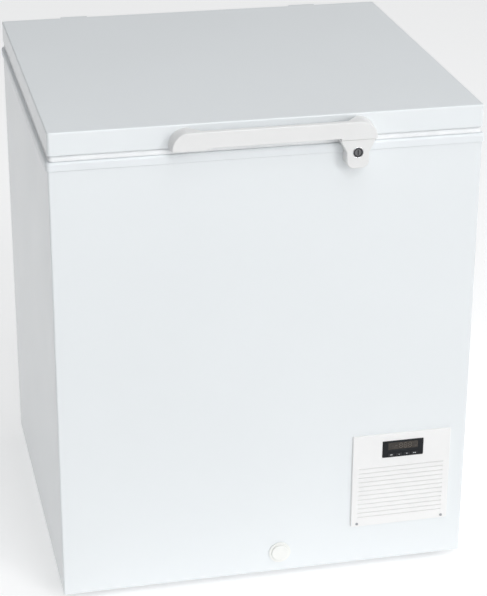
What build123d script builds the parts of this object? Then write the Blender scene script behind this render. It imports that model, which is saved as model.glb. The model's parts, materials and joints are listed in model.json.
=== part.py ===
"""Chest freezer for ultra low temperatures, in millimetres.

The origin lies on the floor under the middle of the cabinet.
X runs to the right, Y to the back and Z up.
"""
from build123d import *
import os
from math import radians, tan

# Cabinet
CABINET_W = 720.0
CABINET_D = 656.0
FOOT_HEIGHT = 15.0
WALL_H = 781.0
FRAME_APRON = 15.0
SEAL_GAP = 10.0
LID_SKIRT = 39.0
SHEET = 0.8
BEND_R = 3.0
REAR_RETURN = 18.0
REAR_INSET = 6.0
BOTTOM_FLANGE = 14.0
BASE_SHEET = 1.0
SHEET_LAP = 10.0
FIT = 0.2
SEAM = 0.8

# Top frame
RIM_PROUD = 3.0
RIM_CORNER = 7.0
RIM_TOP_R = 4.0
RIM_LOW_EDGE = 1.2
FRAME_WEB = 4.0
LIP_T = 2.5
LIP_DROP = 18.0

# Tank and machine bay
WALL_INSULATION = 110.0
FLOOR_INSULATION = 100.0
BAY_INSULATION = 80.0
LINER_SHEET = 1.0
TANK_R = 20.0
BAY_CLEAR = 11.5
BAY_MARGIN = 10.0
BAY_H = 290.0
BAY_SHEET = 1.0

# Evaporator wound round the tank
COIL_T = 6.0
COIL_H = 10.0
COIL_GAP = 24.0
COIL_CORNER = 10.0
COIL_INSET = 160.0
COIL_MARGIN = 45.0
COIL_UPPER = 4
COIL_LOWER = 3

# Feet
FOOT_R = 20.0
FOOT_INSET = 55.0

# Drain
DRAIN_INSET = 43.0
DRAIN_Z = 37.0
DRAIN_R = 12.0
DRAIN_TURN = 70.0
DRAIN_FLANGE_R = 19.5
DRAIN_FLANGE_T = 2.5
PLUG_STEM_R = 9.0
PLUG_STEM_L = 14.0
PLUG_CAP_R = 15.5
PLUG_CAP_T = 3.5
PLUG_CAP_EDGE = 1.2
PLUG_PLAY = 0.1
BODY_GAP = 0.3

# Front grille
GRILLE_INSET = 117.5
GRILLE_Z = 163.0
GRILLE_W = 178.0
GRILLE_H = 180.0
GRILLE_T = 4.0
GRILLE_CORNER = 3.0
GRILLE_EDGE = 0.9
GRILLE_LAP_X = 8.0
GRILLE_LAP_Z = 10.0
GRILLE_DEPTH = 8.0
GRILLE_WALL = 2.0
LOUVRE_W = 155.0
LOUVRE_COUNT = 12
LOUVRE_PITCH = 8.8
LOUVRE_SLOT = 2.2
LOUVRE_FIRST = 65.0
LOUVRE_RISE = 45.0
LOUVRE_EDGE = 2.0

# Controller
CONTROL_SHIFT = 1.7
CONTROL_Z = 223.2
CONTROL_W = 74.5
CONTROL_H = 32.0
CONTROL_CORNER = 2.0
CONTROL_EDGE = 0.7
CONTROL_RECESS = 2.5
CONTROL_PROUD = 1.2
CASE_W = 71.0
CASE_H = 29.0
CASE_D = 58.0
LENS_W = 54.5
LENS_H = 14.0
LENS_T = 1.2
LENS_RAISE = 6.0
KEY_COUNT = 4
KEY_PITCH = 14.2
KEY_DROP = 10.7
KEY_W = 10.4
KEY_H = 4.8
KEY_PROUD = 0.9
KEY_EDGE = 0.3
KEY_GAP = 0.3
KEY_ROOM = 1.0

# Condenser and fan
COOLER_W = 165.0
COOLER_H = 165.0
COOLER_D = 44.0
COOLER_SETBACK = 34.0
COOLER_PLATE = 2.0
COOLER_TUBES = 5
COOLER_TUBE_H = 4.0
COOLER_TUBE_INSET = 6.0
COOLER_FINS = 4
COOLER_FIN_T = 0.8
HEADER_HALF = 7.0
HEADER_SINK = 2.0
SHROUD_T = 2.0
SHROUD_L = 32.0
SHROUD_GAP = 7.4
FAN_R = 62.0
FAN_HUB_R = 20.0
FAN_HUB_L = 16.0
FAN_START = 6.0
FAN_BLADES = 5
FAN_CHORD = 34.0
FAN_BLADE_T = 2.0
FAN_PITCH = 32.0
FAN_SHAFT_R = 3.0
SHAFT_PLAY = 0.05
SHAFT_SINK = 12.0
MOTOR_W = 44.0
MOTOR_L = 42.0
MOTOR_START = 27.0
ARM_W = 10.0
ARM_T = 4.0

# Compressor
COMP_INSET = 178.0
COMP_R = 68.0
COMP_H = 150.0
COMP_PORT_Z = 50.0
COMP_PLATE_X = 160.0
COMP_PLATE_Y = 130.0
COMP_PLATE_T = 3.0
GROMMET_X = 65.0
GROMMET_Y = 50.0
GROMMET_H = 12.0
GROMMET_W = 20.0
TERMINAL_Z = 74.0
TERMINAL_W = 60.0
TERMINAL_H = 46.0
TERMINAL_OUT = 26.0

# Pipes
PIPE_R = 3.5
PIPE_CLEAR = 26.0
SUCTION_Y = 40.0
DRIER_R = 10.0
DRIER_L = 90.0
DRIER_BACK = 60.0
CAPILLARY_R = 1.5

# Rear vent and cord gland
VENT_W = 178.0
VENT_H = 200.0
VENT_Z = 165.0
VENT_T = 1.0
VENT_LAP = 12.0
VENT_SLOTS = 9
VENT_SLOT_W = 140.0
VENT_SLOT_H = 6.0
GLAND_X = 40.0
GLAND_Z = 32.0
GLAND_BORE = 4.0
GLAND_R = 8.0
GLAND_NUT_R = 13.0
GLAND_NUT_T = 12.0
GLAND_TAIL = 10.0

# Probe in the tank
PROBE_INSET = 100.0
PROBE_R = 3.0
PROBE_L = 70.0
PROBE_RAISE = 190.0
PROBE_OFF = 8.0
CLIP_W = 16.0
CLIP_H = 12.0

# Lid
LID_CORNER = 5.0
LID_EDGE = 2.5
LID_RETURN = 24.0
LID_LINER = 2.0
PLUG_GAP = 9.0
PLUG_DEPTH = 45.0
PLUG_TAPER = 12.0
PLUG_CORNER = 16.0
GASKET_INSET = 6.5
GASKET_W = 14.0
GASKET_WAIST = 2.5
GASKET_TOP = 3.0
GASKET_FOOT = 3.6

# Handle
HANDLE_X = 3.0
HANDLE_L = 337.0
HANDLE_H = 31.5
HANDLE_RAISE = 2.6
HANDLE_STANDOFF = 26.0
HANDLE_CORNER = 29.0
HANDLE_DRAFT = 4.0
HANDLE_EDGE = 2.2
BAR_T = 7.5
BAR_LIFT = 3.0
BAR_HALF = 108.5
LEG_ROOT = 29.5
GRIP_FLARE = 19.0
GRIP_R = 8.0
LEG_POCKET_W = 17.0
LEG_POCKET_H = 17.0
LEG_WALL = 3.0

# Lock
LOCK_INSET = 32.0
LOCK_STANDOFF = 25.0
LOCK_H = 49.0
LOCK_TOP_HALF = 30.0
LOCK_NECK_HALF = 19.0
LOCK_NECK_DROP = 21.0
LOCK_BOTTOM_R = 13.0
LOCK_EDGE = 1.6
LOCK_WALL = 2.5
BARREL_DROP = 21.6
BARREL_R = 8.0
BARREL_L = 13.0
BARREL_SET = 0.5
BARREL_PLAY = 0.06
BOSS_R = 11.0
BOSS_L = 11.0
KEYWAY_W = 1.6
KEYWAY_H = 8.5
KEYWAY_D = 6.0
CAM_T = 3.0
CAM_W = 9.0
KEEPER_T = 3.0
KEEPER_GAP = 0.8
KEEPER_BEHIND = 3.2
KEEPER_PLAY = 1.0

# Hinges
HINGE_INSET = 138.0
HINGE_W = 50.0
HINGE_SHEET = 2.0
HINGE_ARM_T = 2.5
HINGE_SIDE_GAP = 0.5
HINGE_BOSS_R = 9.0
HINGE_HOOD_RISE = 10.0
HINGE_HOOD_DROP = 5.0
HINGE_HOOD_EDGE = 3.0
HINGE_TAB_W = 14.0
HINGE_TAB_H = 20.0
HINGE_PLATE_H = 90.0
HINGE_PLATE_DROP = 3.0
HINGE_GUSSET_H = 66.0
HINGE_GUSSET_OUT = 10.0
PIN_R = 4.0
PIN_PLAY = 0.05
PIN_HEAD_R = 6.0
PIN_HEAD_T = 2.0
SPRING_IN_R = 4.6
SPRING_OUT_R = 8.0
SPRING_END_GAP = 0.5

half_w = CABINET_W / 2
half_d = CABINET_D / 2
z_bottom = FOOT_HEIGHT
z_floor_sheet = z_bottom + SHEET
z_base = z_floor_sheet + BASE_SHEET
z_apron = z_bottom + WALL_H
z_rim = z_apron + FRAME_APRON
z_web = z_rim - FRAME_WEB
z_skirt = z_rim + SEAL_GAP
z_lid = z_skirt + LID_SKIRT
inner_back = half_d - 2 * SHEET
wall_top = z_apron + SHEET_LAP

tank_x = half_w - WALL_INSULATION
tank_y = half_d - WALL_INSULATION
tank_floor = z_bottom + FLOOR_INSULATION
header_x = COOLER_W / 2 + HEADER_HALF - HEADER_SINK
cooler_room = header_x + HEADER_HALF + BAY_CLEAR
compressor_room = COMP_R + TERMINAL_OUT + BAY_MARGIN
grille_room = (GRILLE_INSET + GRILLE_W / 2 - GRILLE_LAP_X + BAY_MARGIN) / 2
bay_x = half_w - 2 * max(cooler_room, compressor_room, grille_room)
bay_top = z_bottom + BAY_H
step_x = bay_x - BAY_INSULATION
step_z = bay_top + BAY_INSULATION
mouth_x = tank_x - FIT - LIP_T
mouth_y = tank_y - FIT - LIP_T
coil_x = COIL_INSET - tank_x
coil_in = LINER_SHEET + FIT
coil_out = coil_in + COIL_T

drain_x = step_x - DRAIN_INSET
drain_z = z_bottom + DRAIN_Z
drain_start = -half_d - DRAIN_FLANGE_T
drain_turn = -tank_y + DRAIN_TURN
drain_bore = PLUG_STEM_R + PLUG_PLAY
cap_back = drain_start - BODY_GAP

grille_x = half_w - GRILLE_INSET
grille_z = z_bottom + GRILLE_Z
grille_face = -half_d - GRILLE_T
control_x = grille_x + CONTROL_SHIFT
control_z = z_bottom + CONTROL_Z
fascia_back = grille_face + CONTROL_RECESS
fascia_front = grille_face - CONTROL_PROUD
louvre_first = grille_z + GRILLE_H / 2 - LOUVRE_FIRST
louvre_last = louvre_first - (LOUVRE_COUNT - 1) * LOUVRE_PITCH

bay_mid = (bay_x + half_w - SHEET) / 2
cooler_front = -half_d + COOLER_SETBACK
cooler_back = cooler_front + COOLER_D
cooler_top = z_base + COOLER_H
fan_z = z_base + COOLER_H / 2
shroud_y = cooler_back + FIT
shroud_r = FAN_R + SHROUD_GAP
motor_y = shroud_y + MOTOR_START
comp_y = half_d - COMP_INSET
comp_plate_z = z_base + GROMMET_H
comp_z = comp_plate_z + COMP_PLATE_T

probe_x = tank_x - PROBE_INSET
vent_z = z_bottom + VENT_Z
gland_x = bay_x + GLAND_X
gland_z = z_bottom + GLAND_Z

handle_z = z_skirt + HANDLE_RAISE
handle_front = -half_d - HANDLE_STANDOFF
handle_half = HANDLE_L / 2 + HANDLE_STANDOFF * tan(radians(HANDLE_DRAFT))
grip_root = HANDLE_L / 2 - LEG_ROOT
lock_x = HANDLE_X + HANDLE_L / 2 - LOCK_INSET
lock_top = handle_z - SEAM
lock_front = -half_d - LOCK_STANDOFF
barrel_z = lock_top - BARREL_DROP
cam_y = lock_front + BARREL_SET + BARREL_L
keeper_x = lock_x + LOCK_NECK_HALF - LOCK_WALL - KEEPER_GAP - KEEPER_T / 2
cam_reach = keeper_x - KEEPER_T / 2 - KEEPER_GAP - lock_x
keeper_front = cam_y + KEEPER_GAP
keeper_back = cam_y + CAM_T + KEEPER_BEHIND

hinge_x = half_w - HINGE_INSET
hinge_depth = HANDLE_STANDOFF
pin_y = half_d + hinge_depth / 2
pin_z = z_rim + SEAL_GAP / 2
cheek_in = HINGE_W / 2 - HINGE_SHEET
arm_out = cheek_in - HINGE_SIDE_GAP
arm_in = arm_out - HINGE_ARM_T
bracket_top = z_apron - HINGE_PLATE_DROP
tab_z = (pin_z + HINGE_HOOD_RISE + z_lid - HINGE_HOOD_DROP) / 2


def block(x0, x1, y0, y1, z0, z1):
    """Box between two corners."""
    middle = Pos((x0 + x1) / 2, (y0 + y1) / 2, (z0 + z1) / 2)
    return middle * Box(x1 - x0, y1 - y0, z1 - z0)


def bar_x(y, z, r, x0, x1):
    """Cylinder along X."""
    return Pos((x0 + x1) / 2, y, z) * Rot(0, 90, 0) * Cylinder(r, x1 - x0)


def bar_y(x, z, r, y0, y1):
    """Cylinder along Y."""
    return Pos(x, (y0 + y1) / 2, z) * Rot(90, 0, 0) * Cylinder(r, y1 - y0)


def bar_z(x, y, r, z0, z1):
    """Cylinder along Z."""
    return Pos(x, y, (z0 + z1) / 2) * Cylinder(r, z1 - z0)


def polygon(*points):
    """Flat face inside straight edges."""
    return make_face(Polyline(*points, close=True))


def front_prism(profile, y_back, y_front, taper=0.0):
    """Profile drawn in X and Z, carried forward from y_back to y_front."""
    return extrude(Plane.XZ.offset(-y_back) * profile, amount=y_back - y_front, taper=taper)


def side_prism(profile, x0, x1):
    """Profile drawn in Y and Z, carried from x0 to x1."""
    return extrude(Plane.YZ.offset(x0) * profile, amount=x1 - x0)


def plan_prism(profile, z0, z1):
    """Profile drawn in X and Y, carried up from z0 to z1."""
    return extrude(Plane.XY.offset(z0) * profile, amount=z1 - z0)


def rounded_plan(half_x, half_y, z0, z1, r):
    """Upright block round the origin with rounded vertical corners."""
    return plan_prism(RectangleRounded(2 * half_x, 2 * half_y, r), z0, z1)


def ring_plan(out_x, out_y, in_x, in_y, z0, z1, r_out, r_in):
    """Upright frame round the origin."""
    return rounded_plan(out_x, out_y, z0, z1, r_out) - rounded_plan(in_x, in_y, z0, z1, r_in)


def front_corners(box):
    """The two upright edges at the front of a box."""
    return box.edges().filter_by(Axis.Z).group_by(Axis.Y)[0]


def tank_space(grow, top):
    """Room inside the tank, grown by a wall thickness, with the step over the machine bay."""
    outline = polygon(
        (-tank_x - grow, tank_floor - grow),
        (step_x + grow, tank_floor - grow),
        (step_x + grow, step_z - grow),
        (tank_x + grow, step_z - grow),
        (tank_x + grow, top),
        (-tank_x - grow, top),
    )
    return front_prism(outline, tank_y + grow, -tank_y - grow)


def soft_tank(grow, top):
    """Tank room with its upright corners rounded."""
    space = tank_space(grow, top)
    return fillet(space.edges().filter_by(Axis.Z), TANK_R + grow)


def drain_path(r):
    """Rod along the drain, from the front socket back and up to the tank floor."""
    top = tank_floor - LINER_SHEET - FIT
    start = Plane(origin=(drain_x, drain_start, drain_z), x_dir=(1, 0, 0), z_dir=(0, 1, 0))
    path = Polyline(
        (drain_x, drain_start, drain_z),
        (drain_x, drain_turn, drain_z),
        (drain_x, drain_turn, top),
    )
    return sweep(start * Circle(r), path=path, transition=Transition.RIGHT)


def cabinet_wrapper():
    """Front and side walls folded from one sheet, with rear returns and a bottom flange."""
    back = half_d - SHEET
    outer = block(-half_w, half_w, -half_d, back, z_bottom, wall_top)
    outer = fillet(front_corners(outer), BEND_R)
    in_x = half_w - SHEET
    inner = block(-in_x, in_x, -half_d + SHEET, inner_back, z_floor_sheet, wall_top)
    inner = chamfer(front_corners(inner), BEND_R - SHEET)
    floor_x = half_w - BOTTOM_FLANGE
    floor_gap = block(-floor_x, floor_x, -half_d + BOTTOM_FLANGE, back, z_bottom, z_floor_sheet)
    back_x = half_w - REAR_RETURN
    back_gap = block(-back_x, back_x, inner_back, back, z_bottom, wall_top)
    gap = Rectangle(GRILLE_W - 2 * GRILLE_LAP_X, GRILLE_H - 2 * GRILLE_LAP_Z)
    grille_gap = front_prism(Pos(grille_x, grille_z) * gap, -half_d + SHEET, -half_d)
    drain_gap = bar_y(drain_x, drain_z, DRAIN_R + FIT, -half_d, -half_d + SHEET)
    return outer - inner - floor_gap - back_gap - grille_gap - drain_gap


def rear_panel():
    """Flat back sheet laid over the returns of the outer wall."""
    x = half_w - REAR_INSET
    panel = block(-x, x, half_d - SHEET, half_d, z_bottom, wall_top)
    gap = Rectangle(VENT_W - 2 * VENT_LAP, VENT_H - 2 * VENT_LAP)
    panel -= front_prism(Pos(bay_mid, vent_z) * gap, half_d, half_d - SHEET)
    return panel - bar_y(gland_x, gland_z, GLAND_R + FIT, half_d - SHEET, half_d)


def base_pan():
    """Bottom sheet that rests on the flange of the outer wall and carries the machinery."""
    x = half_w - SHEET - FIT
    pan = block(-x, x, -half_d + SHEET + FIT, inner_back - FIT, z_floor_sheet, z_base)
    return chamfer(front_corners(pan), BEND_R)


def foot_places():
    """Plan positions of the four feet."""
    x = half_w - FOOT_INSET
    y = half_d - FOOT_INSET
    return [(-x, -y), (x, -y), (-x, y), (x, y)]


def feet():
    """Four moulded feet under the bottom sheet."""
    return Part() + [bar_z(x, y, FOOT_R, 0, z_floor_sheet) for x, y in foot_places()]


def top_frame():
    """Plastic collar that closes the insulation between the outer wall and the tank."""
    rim = rounded_plan(half_w + RIM_PROUD, half_d + RIM_PROUD, z_apron, z_rim, RIM_CORNER)
    rim = fillet(rim.edges().group_by(Axis.Z)[-1], RIM_TOP_R)
    rim = chamfer(rim.edges().group_by(Axis.Z)[0], RIM_LOW_EDGE)
    x = half_w + FIT
    y = half_d + FIT
    rim -= block(-x, x, -y, y, z_apron, z_web)
    lip_r = TANK_R - FIT
    rim -= rounded_plan(mouth_x, mouth_y, z_web, z_rim, lip_r - LIP_T)
    lip = ring_plan(
        tank_x - FIT, tank_y - FIT, mouth_x, mouth_y, z_web - LIP_DROP, z_rim, lip_r, lip_r - LIP_T
    )
    return rim + lip


def tank_liner():
    """Aluminium tank with a raised step over the machine bay and a drain hole in its floor."""
    top = z_web - FIT
    tank = soft_tank(LINER_SHEET, top) - soft_tank(0, top)
    return tank - bar_z(drain_x, drain_turn, drain_bore, tank_floor - LINER_SHEET, tank_floor)


def coil_levels():
    """Heights of the coil's turns, each with the right hand end of the tank there."""
    low = tank_floor + COIL_MARGIN
    high = step_z - 2 * COIL_MARGIN
    lower = [(low + i * (high - low) / (COIL_LOWER - 1), step_x) for i in range(COIL_LOWER)]
    low = step_z + COIL_MARGIN
    high = z_web - 2 * COIL_MARGIN
    upper = [(low + i * (high - low) / (COIL_UPPER - 1), tank_x) for i in range(COIL_UPPER)]
    return lower + upper


def coil_turn(z, right):
    """One turn of flat tube round the tank, open at the back where the next one joins."""
    low = z - COIL_H / 2
    high = z + COIL_H / 2
    outer = block(-tank_x - coil_out, right + coil_out, -tank_y - coil_out, tank_y + coil_out, low, high)
    inner = block(-tank_x - coil_in, right + coil_in, -tank_y - coil_in, tank_y + coil_in, low, high)
    outer = chamfer(outer.edges().filter_by(Axis.Z), COIL_CORNER + COIL_T / 2)
    inner = chamfer(inner.edges().filter_by(Axis.Z), COIL_CORNER)
    gap = COIL_GAP / 2
    return outer - inner - block(coil_x - gap, coil_x + gap, tank_y, half_d, low, high)


def evaporator_coil():
    """Flat tube wound round the tank in one run, with a sloping link between turns."""
    levels = coil_levels()
    coil = coil_turn(*levels[0])
    right = coil_x + COIL_GAP / 2
    left = coil_x - COIL_GAP / 2
    half = COIL_H / 2
    for (low, _), (high, end) in zip(levels, levels[1:]):
        link = polygon((right, low - half), (right, low + half), (left, high + half), (left, high - half))
        coil += coil_turn(high, end)
        coil += front_prism(link, tank_y + coil_out, tank_y + coil_in)
    return coil


def cabinet_insulation():
    """Foam between the outer wall, the tank and the machine bay."""
    x = half_w - SHEET - FIT
    foam = block(-x, x, -half_d + SHEET + FIT, inner_back - FIT, z_base + FIT, z_web - FIT)
    foam = chamfer(front_corners(foam), BEND_R)
    foam -= tank_space(LINER_SHEET + FIT, z_web)
    edge = bay_x - BAY_SHEET - FIT
    foam -= block(edge, half_w, -half_d, half_d, z_bottom, bay_top + BAY_SHEET + FIT)
    levels = coil_levels()
    room = coil_out + FIT
    for first, last in ((0, COIL_LOWER - 1), (COIL_LOWER, COIL_LOWER + COIL_UPPER - 1)):
        low = levels[first][0] - COIL_H
        high = levels[last][0] + COIL_H
        right = levels[first][1] + room
        foam -= block(-tank_x - room, right, -tank_y - room, tank_y + room, low, high)
    link_low = levels[COIL_LOWER - 1][0]
    link_high = levels[COIL_LOWER][0]
    link_x = COIL_GAP / 2 + FIT
    foam -= block(coil_x - link_x, coil_x + link_x, tank_y, tank_y + room, link_low, link_high)
    return foam - drain_path(DRAIN_R + FIT)


def machine_bay():
    """Folded sheet that keeps the insulation out of the machine bay."""
    right = half_w - SHEET - FIT
    outline = polygon(
        (bay_x - BAY_SHEET, z_base),
        (bay_x, z_base),
        (bay_x, bay_top),
        (right, bay_top),
        (right, bay_top + BAY_SHEET),
        (bay_x - BAY_SHEET, bay_top + BAY_SHEET),
    )
    return front_prism(outline, inner_back - BEND_R, -half_d + SHEET + BEND_R)


def drain_outlet():
    """Pipe under the tank floor with one square elbow and a flange on the front wall."""
    outlet = drain_path(DRAIN_R) + bar_y(drain_x, drain_z, DRAIN_FLANGE_R, drain_start, -half_d)
    return outlet - drain_path(drain_bore)


def drain_plug():
    """Push-in plug with a bevelled cap."""
    cap = bar_y(drain_x, drain_z, PLUG_CAP_R, cap_back - PLUG_CAP_T, cap_back)
    cap = chamfer(cap.edges().group_by(Axis.Y)[0], PLUG_CAP_EDGE)
    return cap + bar_y(drain_x, drain_z, PLUG_STEM_R, cap_back, cap_back + PLUG_STEM_L)


def front_grille():
    """Moulded panel with sloping louvres and a cutout for the controller."""
    outline = Pos(grille_x, grille_z) * RectangleRounded(GRILLE_W, GRILLE_H, GRILLE_CORNER)
    panel = front_prism(outline, -half_d, grille_face)
    panel = chamfer(panel.edges().group_by(Axis.Y)[0], GRILLE_EDGE)
    back = -half_d + GRILLE_DEPTH
    rim_w = GRILLE_W - 2 * GRILLE_LAP_X - 2 * BODY_GAP
    rim_h = GRILLE_H - 2 * GRILLE_LAP_Z - 2 * BODY_GAP
    rim = Rectangle(rim_w, rim_h) - Rectangle(rim_w - 2 * GRILLE_WALL, rim_h - 2 * GRILLE_WALL)
    panel += front_prism(Pos(grille_x, grille_z) * rim, back, -half_d)
    slope = tan(radians(LOUVRE_RISE))
    climb = (back - grille_face) * slope
    half = LOUVRE_W / 2
    low = max(louvre_last - LOUVRE_SLOT, grille_z - rim_h / 2)
    panel += block(
        grille_x - half - LOUVRE_EDGE, grille_x + half + LOUVRE_EDGE, -half_d, back,
        low, louvre_first + climb + LOUVRE_EDGE,
    )
    slot = LOUVRE_SLOT / 2
    for i in range(LOUVRE_COUNT):
        z = louvre_first - i * LOUVRE_PITCH
        low = z - slot
        high = z + slot
        cut = polygon((grille_face, low), (grille_face, high), (back, high + climb), (back, low + climb))
        panel -= side_prism(cut, grille_x - half, grille_x + half)
    recess = Rectangle(CONTROL_W + 2 * FIT, CONTROL_H + 2 * FIT)
    panel -= front_prism(Pos(control_x, control_z) * recess, fascia_back, grille_face)
    hole = Rectangle(CASE_W + 2 * FIT, CASE_H + 2 * FIT)
    return panel - front_prism(Pos(control_x, control_z) * hole, back, grille_face)


def controller_case():
    """Body of the controller behind its fascia."""
    return front_prism(
        Pos(control_x, control_z) * Rectangle(CASE_W, CASE_H), fascia_back + CASE_D, fascia_back
    )


def key_places():
    """Centres of the controller's keys in X and Z."""
    first = control_x - KEY_PITCH * (KEY_COUNT - 1) / 2
    return [(first + i * KEY_PITCH, control_z - KEY_DROP) for i in range(KEY_COUNT)]


def controller_fascia():
    """Front of the controller with a window seat and four key holes."""
    outline = Pos(control_x, control_z) * RectangleRounded(CONTROL_W, CONTROL_H, CONTROL_CORNER)
    fascia = front_prism(outline, fascia_back, fascia_front)
    fascia = chamfer(fascia.edges().group_by(Axis.Y)[0], CONTROL_EDGE)
    seat = Pos(control_x, control_z + LENS_RAISE) * Rectangle(LENS_W, LENS_H)
    fascia -= front_prism(seat, fascia_front + LENS_T, fascia_front)
    for x, z in key_places():
        hole = Rectangle(KEY_W + 2 * KEY_GAP, KEY_H + 2 * KEY_GAP)
        fascia -= front_prism(Pos(x, z) * hole, fascia_back, fascia_front)
    return fascia


def display_lens():
    """Smoked window over the display."""
    pane = Pos(control_x, control_z + LENS_RAISE) * Rectangle(LENS_W - 2 * FIT, LENS_H - 2 * FIT)
    return front_prism(pane, fascia_front + LENS_T, fascia_front)


def controller_key(x, z):
    """Push key with bevelled edges that stands a little proud of the fascia."""
    key = front_prism(Pos(x, z) * Rectangle(KEY_W, KEY_H), fascia_back - KEY_ROOM, fascia_front - KEY_PROUD)
    return chamfer(key.edges().group_by(Axis.Y)[0], KEY_EDGE)


def condenser():
    """Brazed condenser with flat tubes, fins, side plates and two headers."""
    left = bay_mid - COOLER_W / 2
    right = bay_mid + COOLER_W / 2
    pieces = []
    for x in (left, right - COOLER_PLATE):
        pieces.append(block(x, x + COOLER_PLATE, cooler_front, cooler_back, z_base, cooler_top))
    pitch = COOLER_H / (COOLER_TUBES + 1)
    for i in range(COOLER_TUBES):
        z = z_base + (i + 1) * pitch
        y0 = cooler_front + COOLER_TUBE_INSET
        y1 = cooler_back - COOLER_TUBE_INSET
        pieces.append(block(left, right, y0, y1, z - COOLER_TUBE_H / 2, z + COOLER_TUBE_H / 2))
    step = COOLER_W / (COOLER_FINS + 1)
    for i in range(COOLER_FINS):
        x = left + (i + 1) * step
        low = z_base + pitch / 2
        high = cooler_top - pitch / 2
        fin = COOLER_FIN_T / 2
        pieces.append(block(x - fin, x + fin, cooler_front, cooler_back, low, high))
    middle = (cooler_front + cooler_back) / 2
    for side in (-1, 1):
        low = z_base + pitch / 2
        x = bay_mid + side * header_x
        y0 = middle - HEADER_HALF
        y1 = middle + HEADER_HALF
        pieces.append(block(x - HEADER_HALF, x + HEADER_HALF, y0, y1, low, cooler_top))
    return Part() + pieces


def fan_shroud():
    """Square frame with a round duct and a cross that holds the motor."""
    half = COOLER_W / 2
    back = shroud_y + SHROUD_L
    shroud = block(bay_mid - half, bay_mid + half, shroud_y, shroud_y + SHROUD_T, z_base, cooler_top)
    reach = shroud_r + SHROUD_T
    shroud += block(bay_mid - reach, bay_mid + reach, shroud_y, back, fan_z - reach, fan_z + reach)
    shroud -= bar_y(bay_mid, fan_z, shroud_r, shroud_y, back)
    arm = ARM_W / 2
    shroud += block(bay_mid - reach, bay_mid + reach, back - ARM_T, back, fan_z - arm, fan_z + arm)
    shroud += block(bay_mid - arm, bay_mid + arm, back - ARM_T, back, fan_z - reach, fan_z + reach)
    hole = MOTOR_W / 2 + FIT
    return shroud - block(bay_mid - hole, bay_mid + hole, back - ARM_T, back, fan_z - hole, fan_z + hole)


def fan_motor():
    """Square motor with a bearing bore for the fan's shaft."""
    half = MOTOR_W / 2
    motor = block(bay_mid - half, bay_mid + half, motor_y, motor_y + MOTOR_L, fan_z - half, fan_z + half)
    return motor - bar_y(bay_mid, fan_z, FAN_SHAFT_R + SHAFT_PLAY, motor_y, motor_y + SHAFT_SINK + FIT)


def fan_impeller():
    """Hub, shaft and twisted blades in one piece."""
    start = shroud_y + FAN_START
    fan = bar_y(0, 0, FAN_HUB_R, start, start + FAN_HUB_L)
    fan += bar_y(0, 0, FAN_SHAFT_R, start, motor_y + SHAFT_SINK)
    root = FAN_HUB_R / 2
    for i in range(FAN_BLADES):
        blade = Rot(0, 0, FAN_PITCH) * Box(FAN_CHORD, FAN_BLADE_T, FAN_R - root)
        blade = Pos(0, start + FAN_HUB_L / 2, (FAN_R + root) / 2) * blade
        fan += Rot(0, i * 360 / FAN_BLADES, 0) * blade
    return Pos(bay_mid, 0, fan_z) * fan


def compressor():
    """Sealed compressor can."""
    return bar_z(bay_mid, comp_y, COMP_R, comp_z, comp_z + COMP_H)


def grommet_places():
    """Plan positions of the compressor's rubber mounts."""
    return [(bay_mid + i * GROMMET_X, comp_y + j * GROMMET_Y) for i in (-1, 1) for j in (-1, 1)]


def compressor_base():
    """Mounting plate under the compressor."""
    x = COMP_PLATE_X / 2
    y = COMP_PLATE_Y / 2
    return block(bay_mid - x, bay_mid + x, comp_y - y, comp_y + y, comp_plate_z, comp_z)


def compressor_grommets():
    """Four rubber blocks between the bottom sheet and the compressor's plate."""
    half = GROMMET_W / 2
    return Part() + [
        block(x - half, x + half, y - half, y + half, z_base, comp_plate_z) for x, y in grommet_places()
    ]


def terminal_box():
    """Electrical box on the side of the compressor."""
    low = comp_z + TERMINAL_Z
    wide = TERMINAL_W / 2
    end = bay_mid + COMP_R + TERMINAL_OUT
    box = block(bay_mid, end, comp_y - wide, comp_y + wide, low, low + TERMINAL_H)
    return box - bar_z(bay_mid, comp_y, COMP_R + FIT, low, low + TERMINAL_H)


def pipe(points, r):
    """Round pipe with square elbows at the given corners."""
    path = Polyline(*points)
    start = Plane(origin=path @ 0, z_dir=path % 0)
    return sweep(start * Circle(r), path=path, transition=Transition.RIGHT)


def discharge_pipe():
    """Hot gas pipe from the compressor's side to the right hand header."""
    x = bay_mid + header_x
    z = comp_z + COMP_PORT_Z
    middle = (cooler_front + cooler_back) / 2
    return pipe(
        [(bay_mid + COMP_R + FIT, comp_y, z), (x, comp_y, z), (x, middle + HEADER_HALF + FIT, z)], PIPE_R
    )


def suction_pipe():
    """Return pipe from the insulation down to the back of the compressor."""
    y = comp_y + COMP_R + SUCTION_Y
    z = comp_z + COMP_PORT_Z
    return pipe(
        [(bay_mid, y, bay_top), (bay_mid, y, z), (bay_mid, comp_y + COMP_R + FIT, z)], PIPE_R
    )


def liquid_line():
    """Pipe from the left hand header, the upright filter drier and the thin tube above it."""
    x = bay_mid - header_x
    y = shroud_y + DRIER_BACK
    low = z_base + COOLER_H / (COOLER_TUBES + 1)
    middle = (cooler_front + cooler_back) / 2
    line = pipe([(x, middle + HEADER_HALF + FIT, low), (x, y, low), (x, y, low + PIPE_CLEAR)], PIPE_R)
    line += bar_z(x, y, DRIER_R, low + PIPE_CLEAR, low + PIPE_CLEAR + DRIER_L)
    return line + bar_z(x, y, CAPILLARY_R, low + PIPE_CLEAR + DRIER_L, bay_top)


def rear_vent_cover():
    """Slotted sheet over the opening behind the machine bay."""
    cover = Rectangle(VENT_W, VENT_H)
    pitch = (VENT_H - 4 * VENT_LAP) / VENT_SLOTS
    for i in range(VENT_SLOTS):
        cover -= Pos(0, (i - (VENT_SLOTS - 1) / 2) * pitch) * Rectangle(VENT_SLOT_W, VENT_SLOT_H)
    return front_prism(Pos(bay_mid, vent_z) * cover, half_d + VENT_T, half_d)


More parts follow.
